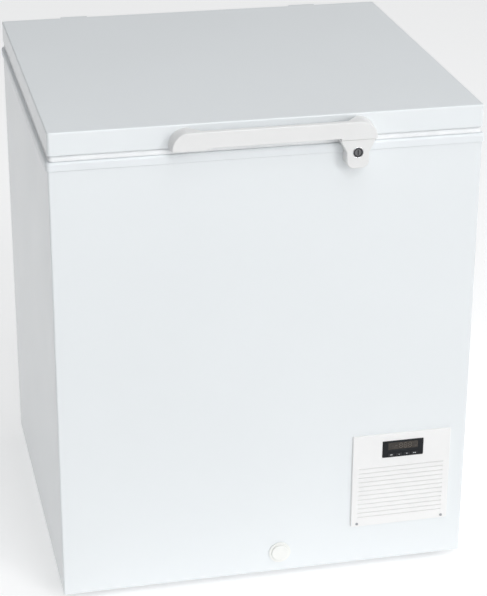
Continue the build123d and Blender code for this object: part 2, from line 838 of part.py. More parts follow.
def cord_gland():
    """Bush with a nut where the supply cord enters the machine bay."""
    nut = Pos(gland_x, gland_z) * RegularPolygon(GLAND_NUT_R, 6)
    gland = front_prism(nut, half_d + GLAND_NUT_T, half_d)
    inside = half_d - SHEET - GLAND_TAIL
    gland += bar_y(gland_x, gland_z, GLAND_R, inside, half_d)
    return gland - bar_y(gland_x, gland_z, GLAND_BORE, inside, half_d + GLAND_NUT_T)


def temperature_probe():
    """Upright sensor tube held off the tank's back wall by a clip."""
    y = tank_y - PROBE_OFF
    low = step_z + PROBE_RAISE
    tube = bar_z(probe_x, y, PROBE_R, low, low + PROBE_L)
    z = low + PROBE_L / 2
    half = CLIP_H / 2
    wide = CLIP_W / 2
    return tube + block(probe_x - wide, probe_x + wide, y - PROBE_R / 2, tank_y, z - half, z + half)


def bevelled_block(half_x, half_y, z0, z1, corner, edge):
    """Upright block round the origin with bevelled corners and a bevelled top edge."""
    shape = block(-half_x, half_x, -half_y, half_y, z0, z1)
    shape = chamfer(shape.edges().filter_by(Axis.Z), corner)
    return chamfer(shape.edges().group_by(Axis.Z)[-1], edge)


def lid_skin():
    """Folded sheet cover of the lid with a return under its edge."""
    outer = rounded_plan(half_w, half_d, z_skirt, z_lid, LID_CORNER)
    outer = fillet(outer.edges().group_by(Axis.Z)[-1], LID_EDGE)
    x = half_w - SHEET
    y = half_d - SHEET
    inner = bevelled_block(x, y, z_skirt + SHEET, z_lid - SHEET, LID_CORNER - SHEET, LID_EDGE - SHEET)
    x = half_w - LID_RETURN
    y = half_d - LID_RETURN
    return outer - inner - block(-x, x, -y, y, z_skirt, z_skirt + SHEET)


def lid_plug(inset, depth):
    """Tapered block under the lid that reaches into the tank's mouth."""
    top = z_skirt + SHEET + FIT + LID_LINER
    wide = 2 * (mouth_x - PLUG_GAP - inset)
    deep = 2 * (mouth_y - PLUG_GAP - inset)
    outline = Rectangle(wide, deep)
    outline = chamfer(outline.vertices(), PLUG_CORNER - inset)
    return extrude(Plane.XY.offset(top) * outline, amount=depth, dir=(0, 0, -1), taper=PLUG_TAPER)


def lid_liner():
    """Formed inner sheet of the lid with its hollow plug."""
    low = z_skirt + SHEET + FIT
    x = half_w - SHEET - FIT
    y = half_d - SHEET - FIT
    sheet = block(-x, x, -y, y, low, low + LID_LINER)
    sheet = chamfer(sheet.edges().filter_by(Axis.Z), LID_CORNER)
    return sheet + lid_plug(0, PLUG_DEPTH) - lid_plug(LID_LINER, PLUG_DEPTH - LID_LINER)


def lid_insulation():
    """Foam that fills the lid and its plug."""
    low = z_skirt + SHEET + LID_LINER + 2 * FIT
    high = z_lid - SHEET - FIT
    foam = bevelled_block(half_w - SHEET - FIT, half_d - SHEET - FIT, low, high, LID_CORNER, LID_EDGE)
    x = tank_x / 2
    y = tank_y / 2
    foam += block(-x, x, -y, y, low - 2 * FIT, high)
    return foam + lid_plug(LID_LINER + FIT, PLUG_DEPTH - LID_LINER - FIT)


def lid_gasket():
    """Hollow-sided sealing strip under the lid's edge, with mitred corners."""
    low = z_rim + BODY_GAP
    levels = [
        (0.0, low, low + GASKET_FOOT),
        (GASKET_WAIST, low + GASKET_FOOT, z_skirt - GASKET_TOP),
        (0.0, z_skirt - GASKET_TOP, z_skirt),
    ]
    strip = Part()
    for inset, z0, z1 in levels:
        x = half_w - GASKET_INSET - inset
        y = half_d - GASKET_INSET - inset
        inner = GASKET_W - 2 * inset
        strip += block(-x, x, -y, y, z0, z1) - block(inner - x, x - inner, inner - y, y - inner, z0, z1)
    return strip


def lid_handle():
    """Bowed grip bar on two hollow legs, the right one with a slot for the lock's keeper."""
    plate = Rectangle(2 * handle_half, 2 * HANDLE_H)
    plate = fillet(plate.vertices().group_by(Axis.Y)[-1], HANDLE_CORNER)
    grip = front_prism(Pos(HANDLE_X, handle_z) * plate, -half_d, handle_front, HANDLE_DRAFT)
    low = handle_z - HANDLE_H
    grip = fillet(grip.edges().group_by(Axis.Y)[0], HANDLE_EDGE)
    grip -= block(
        HANDLE_X - handle_half, HANDLE_X + handle_half, handle_front, -half_d, low, handle_z
    )
    back = handle_front + BAR_T
    inner = grip_root - GRIP_FLARE
    room = polygon((-grip_root, -half_d), (-inner, back), (inner, back), (grip_root, -half_d))
    room = fillet(room.vertices().group_by(Axis.Y)[0], GRIP_R)
    grip -= plan_prism(Pos(HANDLE_X, 0) * room, low, handle_z + 2 * HANDLE_H)
    grip -= block(
        HANDLE_X - BAR_HALF, HANDLE_X + BAR_HALF, handle_front, -half_d, low, handle_z + BAR_LIFT
    )
    for side in (-1, 1):
        x = HANDLE_X + side * (keeper_x - HANDLE_X)
        pocket = LEG_POCKET_W / 2
        grip -= block(
            x - pocket, x + pocket, handle_front + LEG_WALL, -half_d,
            handle_z + LEG_WALL, handle_z + LEG_WALL + LEG_POCKET_H,
        )
    slot = KEEPER_T / 2 + FIT
    grip -= block(
        keeper_x - slot, keeper_x + slot, keeper_front - FIT, keeper_back + FIT,
        handle_z - LEG_WALL, handle_z + LEG_WALL,
    )
    return grip


def lock_outline(inset):
    """Front shape of the lock housing, wide under the handle and narrow round the barrel."""
    neck = LOCK_NECK_HALF - inset
    flare = (LOCK_TOP_HALF - LOCK_NECK_HALF) / LOCK_NECK_DROP
    top = neck + flare * (LOCK_NECK_DROP + LOCK_WALL)
    end = -LOCK_H + inset
    shape = polygon(
        (-top, LOCK_WALL),
        (top, LOCK_WALL),
        (neck, -LOCK_NECK_DROP),
        (neck, end),
        (-neck, end),
        (-neck, -LOCK_NECK_DROP),
    )
    shape = fillet(shape.vertices().group_by(Axis.Y)[0], LOCK_BOTTOM_R - inset)
    return Pos(lock_x, lock_top) * shape


def lock_housing():
    """Hollow moulding on the cabinet, open at the top, with a boss for the barrel."""
    case = front_prism(lock_outline(0), -half_d, lock_front)
    case = chamfer(case.edges().group_by(Axis.Y)[0], LOCK_EDGE)
    case -= front_prism(lock_outline(LOCK_WALL), -half_d, lock_front + LOCK_WALL)
    case += bar_y(lock_x, barrel_z, BOSS_R, lock_front + LOCK_WALL / 2, lock_front + BOSS_L)
    case -= bar_y(lock_x, barrel_z, BARREL_R + BARREL_PLAY, lock_front, lock_front + BOSS_L)
    x = 2 * LOCK_TOP_HALF
    case -= block(lock_x - x, lock_x + x, lock_front, -half_d, lock_top, lock_top + LOCK_H)
    front = -half_d - RIM_PROUD - BODY_GAP
    return case - block(lock_x - x, lock_x + x, front, -half_d, z_apron - BODY_GAP, lock_top)


def lock_barrel():
    """Key cylinder with an upright keyway."""
    start = lock_front + BARREL_SET
    barrel = bar_y(lock_x, barrel_z, BARREL_R, start, cam_y)
    wide = KEYWAY_W / 2
    tall = KEYWAY_H / 2
    return barrel - block(
        lock_x - wide, lock_x + wide, start, start + KEYWAY_D, barrel_z - tall, barrel_z + tall
    )


def lock_cam():
    """Arm on the end of the barrel that swings over the keeper's foot."""
    wide = CAM_W / 2
    tip = barrel_z + cam_reach - wide
    arm = block(lock_x - wide, lock_x + wide, cam_y, cam_y + CAM_T, barrel_z, tip)
    arm += bar_y(lock_x, tip, wide, cam_y, cam_y + CAM_T)
    return arm + bar_y(lock_x, barrel_z, wide, cam_y, cam_y + CAM_T)


def lock_keeper():
    """Steel hook that hangs from the handle's leg into the lock, with its foot under the turned cam."""
    half = KEEPER_T / 2
    top = handle_z + LEG_WALL + LEG_POCKET_H - FIT
    foot_top = barrel_z - CAM_W / 2 - KEEPER_PLAY
    low = foot_top - KEEPER_T
    hook = block(keeper_x - half, keeper_x + half, keeper_front, keeper_back, low, top)
    toe = lock_x + CAM_W / 2 + KEEPER_GAP
    return hook + block(toe, keeper_x, keeper_front, keeper_back, low, foot_top)


def hinge_bracket(x):
    """Plate on the cabinet's back with two arms that hold the pin."""
    low = bracket_top - HINGE_PLATE_H
    plate = block(-arm_out, arm_out, half_d, half_d + HINGE_SHEET, low, bracket_top)
    foot = bracket_top - HINGE_GUSSET_H
    side = polygon(
        (half_d, foot),
        (half_d + HINGE_GUSSET_OUT, foot),
        (pin_y + HINGE_BOSS_R, bracket_top - HINGE_GUSSET_H / 3),
        (pin_y + HINGE_BOSS_R, pin_z),
        (pin_y - HINGE_BOSS_R, pin_z),
        (pin_y - HINGE_BOSS_R, bracket_top),
        (half_d, bracket_top),
    )
    for x0, x1 in ((-arm_out, -arm_in), (arm_in, arm_out)):
        plate += side_prism(side, x0, x1)
        plate += bar_x(pin_y, pin_z, HINGE_BOSS_R, x0, x1)
    plate -= bar_x(pin_y, pin_z, PIN_R + PIN_PLAY, -arm_out, arm_out)
    return Pos(x, 0, 0) * plate


def hinge_leaf(x):
    """Pressed hood on the lid's back with two cheeks on the pin and two screwed tabs."""
    wide = HINGE_W / 2
    low = pin_z + HINGE_HOOD_RISE
    high = z_lid - HINGE_HOOD_DROP
    end = half_d + hinge_depth
    hood = block(-wide, wide, half_d, end, low, high)
    top_edges = hood.edges().filter_by(Axis.X).group_by(Axis.Y)[-1].group_by(Axis.Z)[-1]
    hood = chamfer(top_edges, HINGE_HOOD_EDGE)
    hood -= block(-cheek_in, cheek_in, half_d, end - HINGE_SHEET, low, high - HINGE_SHEET)
    cheek = polygon(
        (pin_y - HINGE_BOSS_R, pin_z),
        (pin_y + HINGE_BOSS_R, pin_z),
        (pin_y + HINGE_BOSS_R, low + HINGE_SHEET),
        (pin_y - HINGE_BOSS_R, low + HINGE_SHEET),
    )
    for x0, x1 in ((-wide, -cheek_in), (cheek_in, wide)):
        hood += side_prism(cheek, x0, x1)
        hood += bar_x(pin_y, pin_z, HINGE_BOSS_R, x0, x1)
    hood -= bar_x(pin_y, pin_z, PIN_R + PIN_PLAY, -wide, wide)
    tall = HINGE_TAB_H / 2
    for side in (-1, 1):
        tab = Pos(side * (wide + HINGE_TAB_W / 2 - HINGE_SHEET / 2), tab_z)
        tab = tab * Rectangle(HINGE_TAB_W + HINGE_SHEET, 2 * tall)
        hood += front_prism(tab, half_d + HINGE_SHEET, half_d)
    return Pos(x, 0, 0) * hood


def hinge_pins():
    """Headed pins through the arms and the cheeks of both hinges."""
    wide = HINGE_W / 2 + BODY_GAP
    pin = bar_x(pin_y, pin_z, PIN_R, -wide, wide)
    pin += bar_x(pin_y, pin_z, PIN_HEAD_R, -wide - PIN_HEAD_T, -wide)
    pin += bar_x(pin_y, pin_z, PIN_HEAD_R, wide, wide + PIN_HEAD_T)
    return Part() + [Pos(x, 0, 0) * pin for x in (-hinge_x, hinge_x)]


def hinge_springs():
    """Close wound torsion springs on both pins, drawn as plain sleeves."""
    half = arm_in - SPRING_END_GAP
    sleeve = bar_x(pin_y, pin_z, SPRING_OUT_R, -half, half) - bar_x(pin_y, pin_z, SPRING_IN_R, -half, half)
    return Part() + [Pos(x, 0, 0) * sleeve for x in (-hinge_x, hinge_x)]


nodes = {
    "cabinet_wrapper": cabinet_wrapper(),
    "rear_panel": rear_panel(),
    "base_pan": base_pan(),
    "feet": feet(),
    "top_frame": top_frame(),
    "tank_liner": tank_liner(),
    "evaporator_coil": evaporator_coil(),
    "cabinet_insulation": cabinet_insulation(),
    "machine_bay": machine_bay(),
    "drain_outlet": drain_outlet(),
    "drain_plug": drain_plug(),
    "front_grille": front_grille(),
    "controller_case": controller_case(),
    "controller_fascia": controller_fascia(),
    "display_lens": display_lens(),
    "condenser": condenser(),
    "fan_shroud": fan_shroud(),
    "fan_motor": fan_motor(),
    "fan_impeller": fan_impeller(),
    "compressor": compressor(),
    "compressor_base": compressor_base(),
    "compressor_grommets": compressor_grommets(),
    "terminal_box": terminal_box(),
    "discharge_pipe": discharge_pipe(),
    "suction_pipe": suction_pipe(),
    "liquid_line": liquid_line(),
    "rear_vent_cover": rear_vent_cover(),
    "cord_gland": cord_gland(),
    "temperature_probe": temperature_probe(),
    "lid_skin": lid_skin(),
    "lid_liner": lid_liner(),
    "lid_insulation": lid_insulation(),
    "lid_gasket": lid_gasket(),
    "lid_handle": lid_handle(),
    "lock_housing": lock_housing(),
    "lock_barrel": lock_barrel(),
    "lock_cam": lock_cam(),
    "lock_keeper": lock_keeper(),
    "hinge_pins": hinge_pins(),
    "hinge_springs": hinge_springs(),
}
for name, x in (("left", -hinge_x), ("right", hinge_x)):
    nodes["hinge_bracket_" + name] = hinge_bracket(x)
    nodes["hinge_leaf_" + name] = hinge_leaf(x)
for number, (x, z) in enumerate(key_places(), start=1):
    nodes["controller_key_" + str(number)] = controller_key(x, z)

os.makedirs("parts", exist_ok=True)
for name, shape in nodes.items():
    export_step(shape, "parts/" + name + ".step")
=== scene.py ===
"""Looks of a white chest freezer: finishes, formed sheet, seals, screws, display and a studio stage."""
import json

import bmesh
import bpy
import numpy as np
from bpy.props import FloatProperty, FloatVectorProperty, IntProperty, PointerProperty
from mathutils import Matrix, Vector


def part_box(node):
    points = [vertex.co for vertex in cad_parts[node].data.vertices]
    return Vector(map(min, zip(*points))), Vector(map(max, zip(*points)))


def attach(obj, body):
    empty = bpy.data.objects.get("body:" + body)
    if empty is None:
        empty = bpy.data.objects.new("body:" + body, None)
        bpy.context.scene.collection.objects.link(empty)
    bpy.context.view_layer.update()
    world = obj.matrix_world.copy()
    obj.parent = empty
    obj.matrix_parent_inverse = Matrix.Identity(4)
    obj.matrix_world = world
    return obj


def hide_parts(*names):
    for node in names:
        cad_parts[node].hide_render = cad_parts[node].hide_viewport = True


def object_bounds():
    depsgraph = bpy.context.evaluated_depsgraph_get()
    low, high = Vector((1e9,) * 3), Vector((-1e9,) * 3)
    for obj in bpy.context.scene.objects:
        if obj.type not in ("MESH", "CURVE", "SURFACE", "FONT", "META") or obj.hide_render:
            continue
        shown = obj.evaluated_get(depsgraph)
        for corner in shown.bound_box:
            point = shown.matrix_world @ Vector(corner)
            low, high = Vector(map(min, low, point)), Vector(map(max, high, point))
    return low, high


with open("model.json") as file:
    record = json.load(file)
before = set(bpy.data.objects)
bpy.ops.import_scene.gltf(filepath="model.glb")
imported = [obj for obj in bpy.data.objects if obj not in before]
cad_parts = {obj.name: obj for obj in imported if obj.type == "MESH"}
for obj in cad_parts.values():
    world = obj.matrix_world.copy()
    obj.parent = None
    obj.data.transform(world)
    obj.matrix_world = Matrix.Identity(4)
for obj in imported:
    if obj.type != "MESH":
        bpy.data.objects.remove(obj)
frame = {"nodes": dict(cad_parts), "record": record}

bl_info = {
    "name": "Chest Freezer Looks",
    "version": (1, 0, 0),
    "blender": (4, 5, 0),
    "location": "View3D > Sidebar > Freezer",
    "description": "Dresses the packed chest freezer and sets up a plain studio",
    "category": "Object",
}

CAD_BOX = [list(corner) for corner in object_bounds()]
FINISH = "_finish"
MM = 0.001
FULL_TURN = 2.0 * np.pi
WHITE = (1.0, 1.0, 1.0)
MERGE_DISTANCE = 1e-7  # points nearer than this become one
NOISE_LOW = 0.3  # most of a noise pattern lies above this
NOISE_HIGH = 0.7  # and below this

# Rounded rectangles
CORNER_SUPPORT = 0.6 * MM  # from a corner to the column of points that keeps the side flat
LEAST_RADIUS = 0.05 * MM  # smallest corner radius

# Lid seal
SEAL_POWER = 0.22  # exponent of the seal's section, boxier when lower
LIP_START = 0.60  # share of the height where the lip begins to draw in
LIP_SPAN = 0.38  # share of the height over which it draws in
SEAL_PRESS = 0.25 * MM  # how far the seal reaches below its solid
SEAL_CORNER = 2.0 * MM  # radius of the seal's corners

# Drain plug and strainer
CAP_CHAMFER = 0.4 * MM  # at the back of the cap and at the stem's root
STEM_CHAMFER = 1.5 * MM  # at the stem's end
DRAIN_TUBE = 12.0 * MM  # radius of the drain's tube
TANK_SHEET = 1.0 * MM  # thickness of the tank's sheet
STRAINER_RIM = 2.0 * MM  # how far the strainer reaches past the tube
STRAINER_RISE = 3.0 * MM  # height of the strainer's dome
STRAINER_RIB = 0.35 * MM  # height of its ring ribs
STRAINER_RIBS = 4  # ribs from its middle to its rim
STRAINER_LIFT = 0.05 * MM  # gap under its rim

# Screws
HEAD_CROWN = 0.45  # exponent of the head's height, fuller when lower
CROSS_ARM = 0.16  # half the width of the cross's arm in head radii
CROSS_REACH = 0.58  # length of the cross's arm in head radii
ARM_SLOPE = 0.4  # share of the arm's half width that slopes
REACH_SLOPE = 0.25  # share of the arm's length that slopes
CROSS_TURN = 0.7  # turn from one screw's cross to the next in radians
GRILLE_SCALE = 0.8  # size of the grille's screws against the others
GRILLE_SCREW_INSET = 11.0 * MM
GRILLE_SCREW_RISE = 5.5 * MM
GRILLE_SCREW_SINK = 0.05 * MM
REAR_SCREW_INSET = 9.0 * MM
REAR_SCREW_RISE = 30.0 * MM  # from the rear sheet's lower edge to the lowest screws
REAR_SCREW_DROP = 60.0 * MM  # from its upper edge to the highest screws
REAR_SCREW_ROWS = 5
VENT_SCREW_INSET = 6.0 * MM
BRACKET_SCREW_RISES = np.array([14.0, 42.0, 70.0]) * MM  # above each bracket's lower edge
HINGE_FACE = 24.0 * MM  # from the freezer's rear end to the hinge plates' faces
HOOD_FOOT = 34.0 * MM  # from the freezer's top to the lower edge of the hinge hoods
LEAF_SCREW_INSET = 7.0 * MM

# Hinge springs
TURN_STEPS = 28  # sections of wire in a turn
WIRE_TIP = 0.004  # share of half the length over which the wire's end closes

# Display and key marks
DIGIT_GAP = 3.2 * MM  # between two digits
BAR_GAP = 0.25 * MM  # between two bars
BAR_POWER = 6.0  # exponent of a bar's outline
DIGIT_PLACES = (-0.5, 0.5, 1.5)  # in digit pitches from the window's middle
SIGN_PLACE = -1.5
MARK_POWER = 5.0  # exponent of a dash's outline
MARK_RINGS = 4  # rows of points from a mark's middle to its edge
# Marks of each key: place across and up, half width and half height in millimetres, and corners.
KEY_MARKS = {
    1: [(0.0, 0.0, 2.1, 0.55, 0)],
    2: [(0.0, -0.2, 1.0, -1.0, 3)],
    3: [(0.0, 0.2, 1.2, 1.2, 3)],
    4: [(-1.5, 0.0, 1.0, 0.6, 0), (1.5, 0.0, 1.0, 0.6, 0)],
}

# Lock
BEZEL_GAP = 0.1 * MM  # between the barrel and the ring
KEYWAY_DEPTH = 1.2 * MM
KEYWAY_SIDE = 0.15 * MM  # width of the keyway's sloping sides
KEYWAY_END = 0.3 * MM  # length of its sloping ends
KEYWAY_REACH = 0.8  # half its length in radii of the key plug
KEYWAY_SHADE_REACH = 0.75  # half the length of the black piece that paints the keyway's shade, in radii of the key plug
KEYWAY_SHADE_SINK = 0.2 * MM  # how far behind the plug's face the black piece that paints the keyway's shade sits
KEYWAY_SHADE_POWER = 8.0  # exponent of the outline of that painted shade

# Feet
FOOT_RADIUS = 20.0 * MM
FOOT_TREAD = 1.5 * MM  # radius of the tread's edge
FOOT_TAPER = 0.6 * MM  # how much narrower a foot is at the tread
FOOT_GROOVE = 1.2 * MM
FOOT_GROOVES = 2

# Studio
FLOOR_TONE = 0.88
FLOOR_DARK = 0.875
FLOOR_LIGHT = 0.885
GLOW_PLACES = (-0.8, -0.2, 1.2)  # where the floor has its glow values, in metres to the back
GLOW_SCALE = 0.25  # parts of the glow's curve in a metre
GLOW_MIDDLE = 0.5  # part of the curve at the object
ROOM_COLOUR = (0.98, 0.99, 1.0, 1.0)
# Lamps: name, place, the point they look at, size and colour.
LAMPS = (
    ("overhead", (0.3, -0.6, 3.6), (0.3, -0.6, 0.0), 1.6, (0.97, 0.985, 1.0)),
    ("high", (0.4, -3.2, 4.6), (0.0, 0.0, 0.6), 3.0, (0.97, 0.985, 1.0)),
    ("front", (0.4, -5.5, 3.8), (0.0, 0.0, 0.5), 3.6, (0.98, 0.99, 1.0)),
    ("key", (5.1, -8.8, 3.1), (0.0, 0.0, 0.4), 2.6, (1.0, 0.995, 0.985)),
)
SENSOR_WIDTH = 36.0  # in millimetres
VIEW_END = 60.0  # how far the camera sees in metres


def shade(name, description, default):
    """A colour that the user can change."""
    return FloatVectorProperty(
        name=name, description=description, default=default, size=3, min=0.0, max=1.0, subtype="COLOR"
    )


def length(name, description, default):
    """A length in metres that the user can change."""
    return FloatProperty(
        name=name, description=description, default=default, min=0.0, unit="LENGTH", precision=5
    )


def lamp_power(name, description, default):
    """A lamp's power in watts that the user can change."""
    return FloatProperty(name=name, description=description, default=default, min=0.0, unit="POWER")


class FreezerFinishes(bpy.types.PropertyGroup):
    """Colours of the freezer's finishes."""

    paint: shade("Paint", "Powder coat of the walls and the lid", (0.83, 0.86, 0.875))
    frame_white: shade("Frame", "Cool white plastic of the top frame", (0.83, 0.86, 0.88))
    warm_white: shade("Warm white", "Plastic of the handle and the lock", (0.815, 0.813, 0.808))
    grille_white: shade("Grille white", "Plastic of the grille", (0.89, 0.885, 0.88))
    seal: shade("Seal", "White rubber of the lid's seal", (0.90, 0.91, 0.92))
    liner: shade("Lid liner", "Formed plastic under the lid", (0.85, 0.86, 0.86))
    drain: shade("Drain", "Cream plastic of the drain and its plug", (0.88, 0.885, 0.86))
    galvanised: shade("Galvanised", "Zinc coated sheet", (0.50, 0.52, 0.54))
    aluminium: shade("Aluminium", "Embossed sheet of the tank", (0.72, 0.73, 0.74))
    copper: shade("Copper", "Refrigerant pipes", (0.72, 0.38, 0.24))
    foam: shade("Foam", "Rigid insulation", (0.78, 0.68, 0.42))
    black: shade("Black", "Grained black plastic", (0.011, 0.0125, 0.015))
    window: shade("Window", "Smoked display window", (0.030, 0.024, 0.019))
    segment: shade("Segments", "Unlit bars of the display", (0.105, 0.085, 0.065))
    mark: shade("Marks", "Printed marks on the keys", (0.82, 0.83, 0.84))
    zinc: shade("Zinc", "Plated screws, pins and keeper", (0.45, 0.46, 0.48))
    chrome: shade("Chrome", "Bright ring of the lock", (0.86, 0.86, 0.87))
    barrel: shade("Barrel", "Dark plated lock barrel", (0.075, 0.076, 0.08))
    plating: shade("Plating", "Dark nickel of the lock's face", (0.20, 0.20, 0.205))
    hinge: shade("Hinge", "Lacquered hinge plates", (0.74, 0.75, 0.76))
    spring: shade("Spring", "Oiled spring wire", (0.16, 0.165, 0.17))
    machine: shade("Machine", "Satin paint of the compressor and motor", (0.03, 0.031, 0.034))
    rubber: shade("Rubber", "Black mounts and feet", (0.03, 0.03, 0.03))


class FreezerSizes(bpy.types.PropertyGroup):
    """Sizes of the pieces that are made here."""

    sheet: length("Sheet", "Thickness of the lid's sheet", 0.8 * MM)
    lid_corner: length("Lid corner", "Radius of the lid's upright corners", 5.0 * MM)
    lid_edge: length("Lid edge", "Radius of the lid's top edge", 2.5 * MM)
    lid_hem: length("Lid hem", "Radius of the fold under the lid's skirt", 2.4 * MM)
    lid_return: length("Lid return", "Width of the sheet folded under the lid", 24.0 * MM)
    seal_width: length("Seal width", "Width of the lid's seal", 14.0 * MM)
    seal_lip: length("Seal lip", "Reach of the seal's lip over its body", 5.2 * MM)
    cap_dish: length("Cap dish", "Depth of the dish in the drain plug's cap", 0.3 * MM)
    cap_round: length("Cap edge", "Radius of the drain plug's cap edge", 1.7 * MM)
    cap_depth: length("Cap depth", "Thickness of the drain plug's cap", 2.3 * MM)
    cap_sink: length("Cap sink", "How far the cap's face stays behind its solid's", 1.2 * MM)
    stem_radius: length("Stem", "Radius of the drain plug's stem", 9.0 * MM)
    screw_radius: length("Screw head", "Radius of a screw's pan head", 3.3 * MM)
    screw_height: length("Screw height", "Height of a screw's pan head", 1.5 * MM)
    screw_recess: length("Screw recess", "Depth of the cross in a screw's head", 0.9 * MM)
    wire_radius: length("Spring wire", "Radius of the hinge spring's wire", 1.45 * MM)
    spring_radius: length("Spring", "Radius of the hinge spring at its wire's middle", 6.35 * MM)
    spring_turns: IntProperty(name="Turns", description="Turns of each hinge spring", default=12, min=2)
    bezel_width: length("Bezel width", "Width of the ring round the lock barrel", 1.3 * MM)
    plug_face: length("Key plug", "Radius of the lock barrel's inner face", 5.4 * MM)
    keyway: length("Keyway", "Half the width of the lock's keyway", 0.8 * MM)
    bezel_proud: length("Bezel height", "Height of the ring round the lock barrel", 0.6 * MM)
    mark_height: length("Mark height", "Thickness of a printed mark", 0.08 * MM)
    digit_height: length("Digit", "Height of a display digit", 9.0 * MM)
    digit_width: length("Digit width", "Width of a display digit", 5.2 * MM)
    digit_bar: length("Digit bar", "Thickness of a display bar", 1.0 * MM)


class FreezerStage(bpy.types.PropertyGroup):
    """Camera and light of the studio."""

    camera_place: FloatVectorProperty(
        name="Camera", description="Where the camera stands", default=(-0.6787, -3.1249, 1.8263), size=3,
        subtype="TRANSLATION", unit="LENGTH",
    )
    camera_right: FloatVectorProperty(
        name="Camera right", description="Direction of the picture's right side",
        default=(0.97495904, -0.22228458, 0.00666639), size=3, subtype="DIRECTION",
    )
    camera_down: FloatVectorProperty(
        name="Camera down", description="Direction of the picture's lower side",
        default=(-0.0841299, -0.39641826, -0.91420716), size=3, subtype="DIRECTION",
    )
    lens: FloatProperty(
        name="Lens", description="Focal length in millimetres", default=114.33, min=1.0, unit="CAMERA"
    )
    shift: FloatVectorProperty(
        name="Shift", description="Offset of the picture in parts of its long side",
        default=(-0.0108, -0.0041), size=2,
    )
    floor_half: length("Floor", "Half the width of the floor", 14.0)
    floor_glow: FloatVectorProperty(
        name="Floor glow", description="Light that the floor adds before, beside and behind the object",
        default=(0.0, 0.37, 0.345), size=3,
    )
    world: FloatVectorProperty(
        name="Room light", description="Strength of the room's light, and its rise to the right",
        default=(0.45, 0.27), size=2,
    )
    overhead: lamp_power("Overhead light", "Power of the lamp above", 11.5)
    high: lamp_power("High light", "Power of the wide lamp high at the front", 51.0)
    front: lamp_power("Front light", "Power of the wide lamp at the front", 54.0)
    key: lamp_power("Key light", "Power of the lamp at the front right", 216.0)


def finishes():
    """The scene's colours."""
    return bpy.context.scene.freezer_finishes


def sizes():
    """The scene's sizes."""
    return bpy.context.scene.freezer_sizes


def new_surface(name, colour, roughness, metallic=0.0):
    """A new material and its shader, with the even values set on the shader itself."""
    material = bpy.data.materials.new(name + FINISH)
    material.use_nodes = True
    shader = material.node_tree.nodes["Principled BSDF"]
    shader.inputs["Base Color"].default_value = (*colour, 1.0)
    shader.inputs["Roughness"].default_value = roughness
    shader.inputs["Metallic"].default_value = metallic
    material.diffuse_color = (*colour, 1.0)
    return material, shader


def object_place(tree, stretch=(1.0, 1.0, 1.0)):
    """Object coordinates, stretched along the axes."""
    place = tree.nodes.new("ShaderNodeTexCoord")
    mapping = tree.nodes.new("ShaderNodeMapping")
    mapping.inputs["Scale"].default_value = stretch
    tree.links.new(place.outputs["Object"], mapping.inputs["Vector"])
    return mapping.outputs["Vector"]


def noise(tree, place, scale, detail=3.0):
    """Cloudy noise with a given number of patches per metre."""
    node = tree.nodes.new("ShaderNodeTexNoise")
    node.inputs["Scale"].default_value = scale
    node.inputs["Detail"].default_value = detail
    tree.links.new(place, node.inputs["Vector"])
    return node.outputs["Fac"]


def cells(tree, place, scale, feature="F1"):
    """Cell pattern with a given number of cells per metre."""
    node = tree.nodes.new("ShaderNodeTexVoronoi")
    node.feature = feature
    node.inputs["Scale"].default_value = scale
    tree.links.new(place, node.inputs["Vector"])
    return node.outputs["Distance"]


def scaled(colour, factor):
    """A colour made darker or lighter."""
    return tuple(min(1.0, channel * factor) for channel in colour)


def tint(tree, shader, pattern, colour, dark, light, low=NOISE_LOW, high=NOISE_HIGH):
    """Colour that runs along a pattern between a dark and a light multiple of itself."""
    ramp = tree.nodes.new("ShaderNodeValToRGB")
    ramp.color_ramp.elements[0].position = low
    ramp.color_ramp.elements[1].position = high
    ramp.color_ramp.elements[0].color = (*scaled(colour, dark), 1.0)
    ramp.color_ramp.elements[1].color = (*scaled(colour, light), 1.0)
    tree.links.new(pattern, ramp.inputs["Fac"])
    tree.links.new(ramp.outputs["Color"], shader.inputs["Base Color"])


def gloss(tree, shader, pattern, low, high):
    """Roughness that runs between two values along a pattern."""
    span = tree.nodes.new("ShaderNodeMapRange")
    span.inputs["From Min"].default_value = NOISE_LOW
    span.inputs["From Max"].default_value = NOISE_HIGH
    span.inputs["To Min"].default_value = low
    span.inputs["To Max"].default_value = high
    tree.links.new(pattern, span.inputs["Value"])
    tree.links.new(span.outputs["Result"], shader.inputs["Roughness"])


def relief(tree, shader, pattern, depth, strength):
    """Fine relief of a given depth in metres along a pattern."""
    bump = tree.nodes.new("ShaderNodeBump")
    bump.inputs["Strength"].default_value = strength
    bump.inputs["Distance"].default_value = depth
    tree.links.new(pattern, bump.inputs["Height"])
    tree.links.new(bump.outputs["Normal"], shader.inputs["Normal"])


def powder_coat(name, colour):
    """Semi-gloss powder coat: orange peel of about 1.5 mm and a faint change of tone."""
    material, shader = new_surface(name, colour, roughness=0.34)
    tree = material.node_tree
    place = object_place(tree)
    tint(tree, shader, noise(tree, place, scale=2.2), colour, dark=0.985, light=1.01)
    gloss(tree, shader, noise(tree, place, scale=9.0), low=0.28, high=0.36)
    relief(tree, shader, noise(tree, place, scale=650.0, detail=1.0), depth=0.03 * MM, strength=0.35)
    shader.inputs["Coat Weight"].default_value = 0.3
    shader.inputs["Coat Roughness"].default_value = 0.12
    return material


def moulded_plastic(name, colour, roughness, grain, shine=0.5):
    """Moulded plastic: flow marks in the tone and a fine spark eroded grain."""
    material, shader = new_surface(name, colour, roughness)
    shader.inputs["Specular IOR Level"].default_value = shine
    tree = material.node_tree
    place = object_place(tree)
    tint(tree, shader, noise(tree, place, scale=14.0), colour, dark=0.98, light=1.01)
    gloss(tree, shader, noise(tree, place, scale=40.0), low=roughness * 0.9, high=roughness * 1.12)
    relief(tree, shader, noise(tree, place, scale=1400.0, detail=2.0), depth=grain, strength=0.4)
    return material


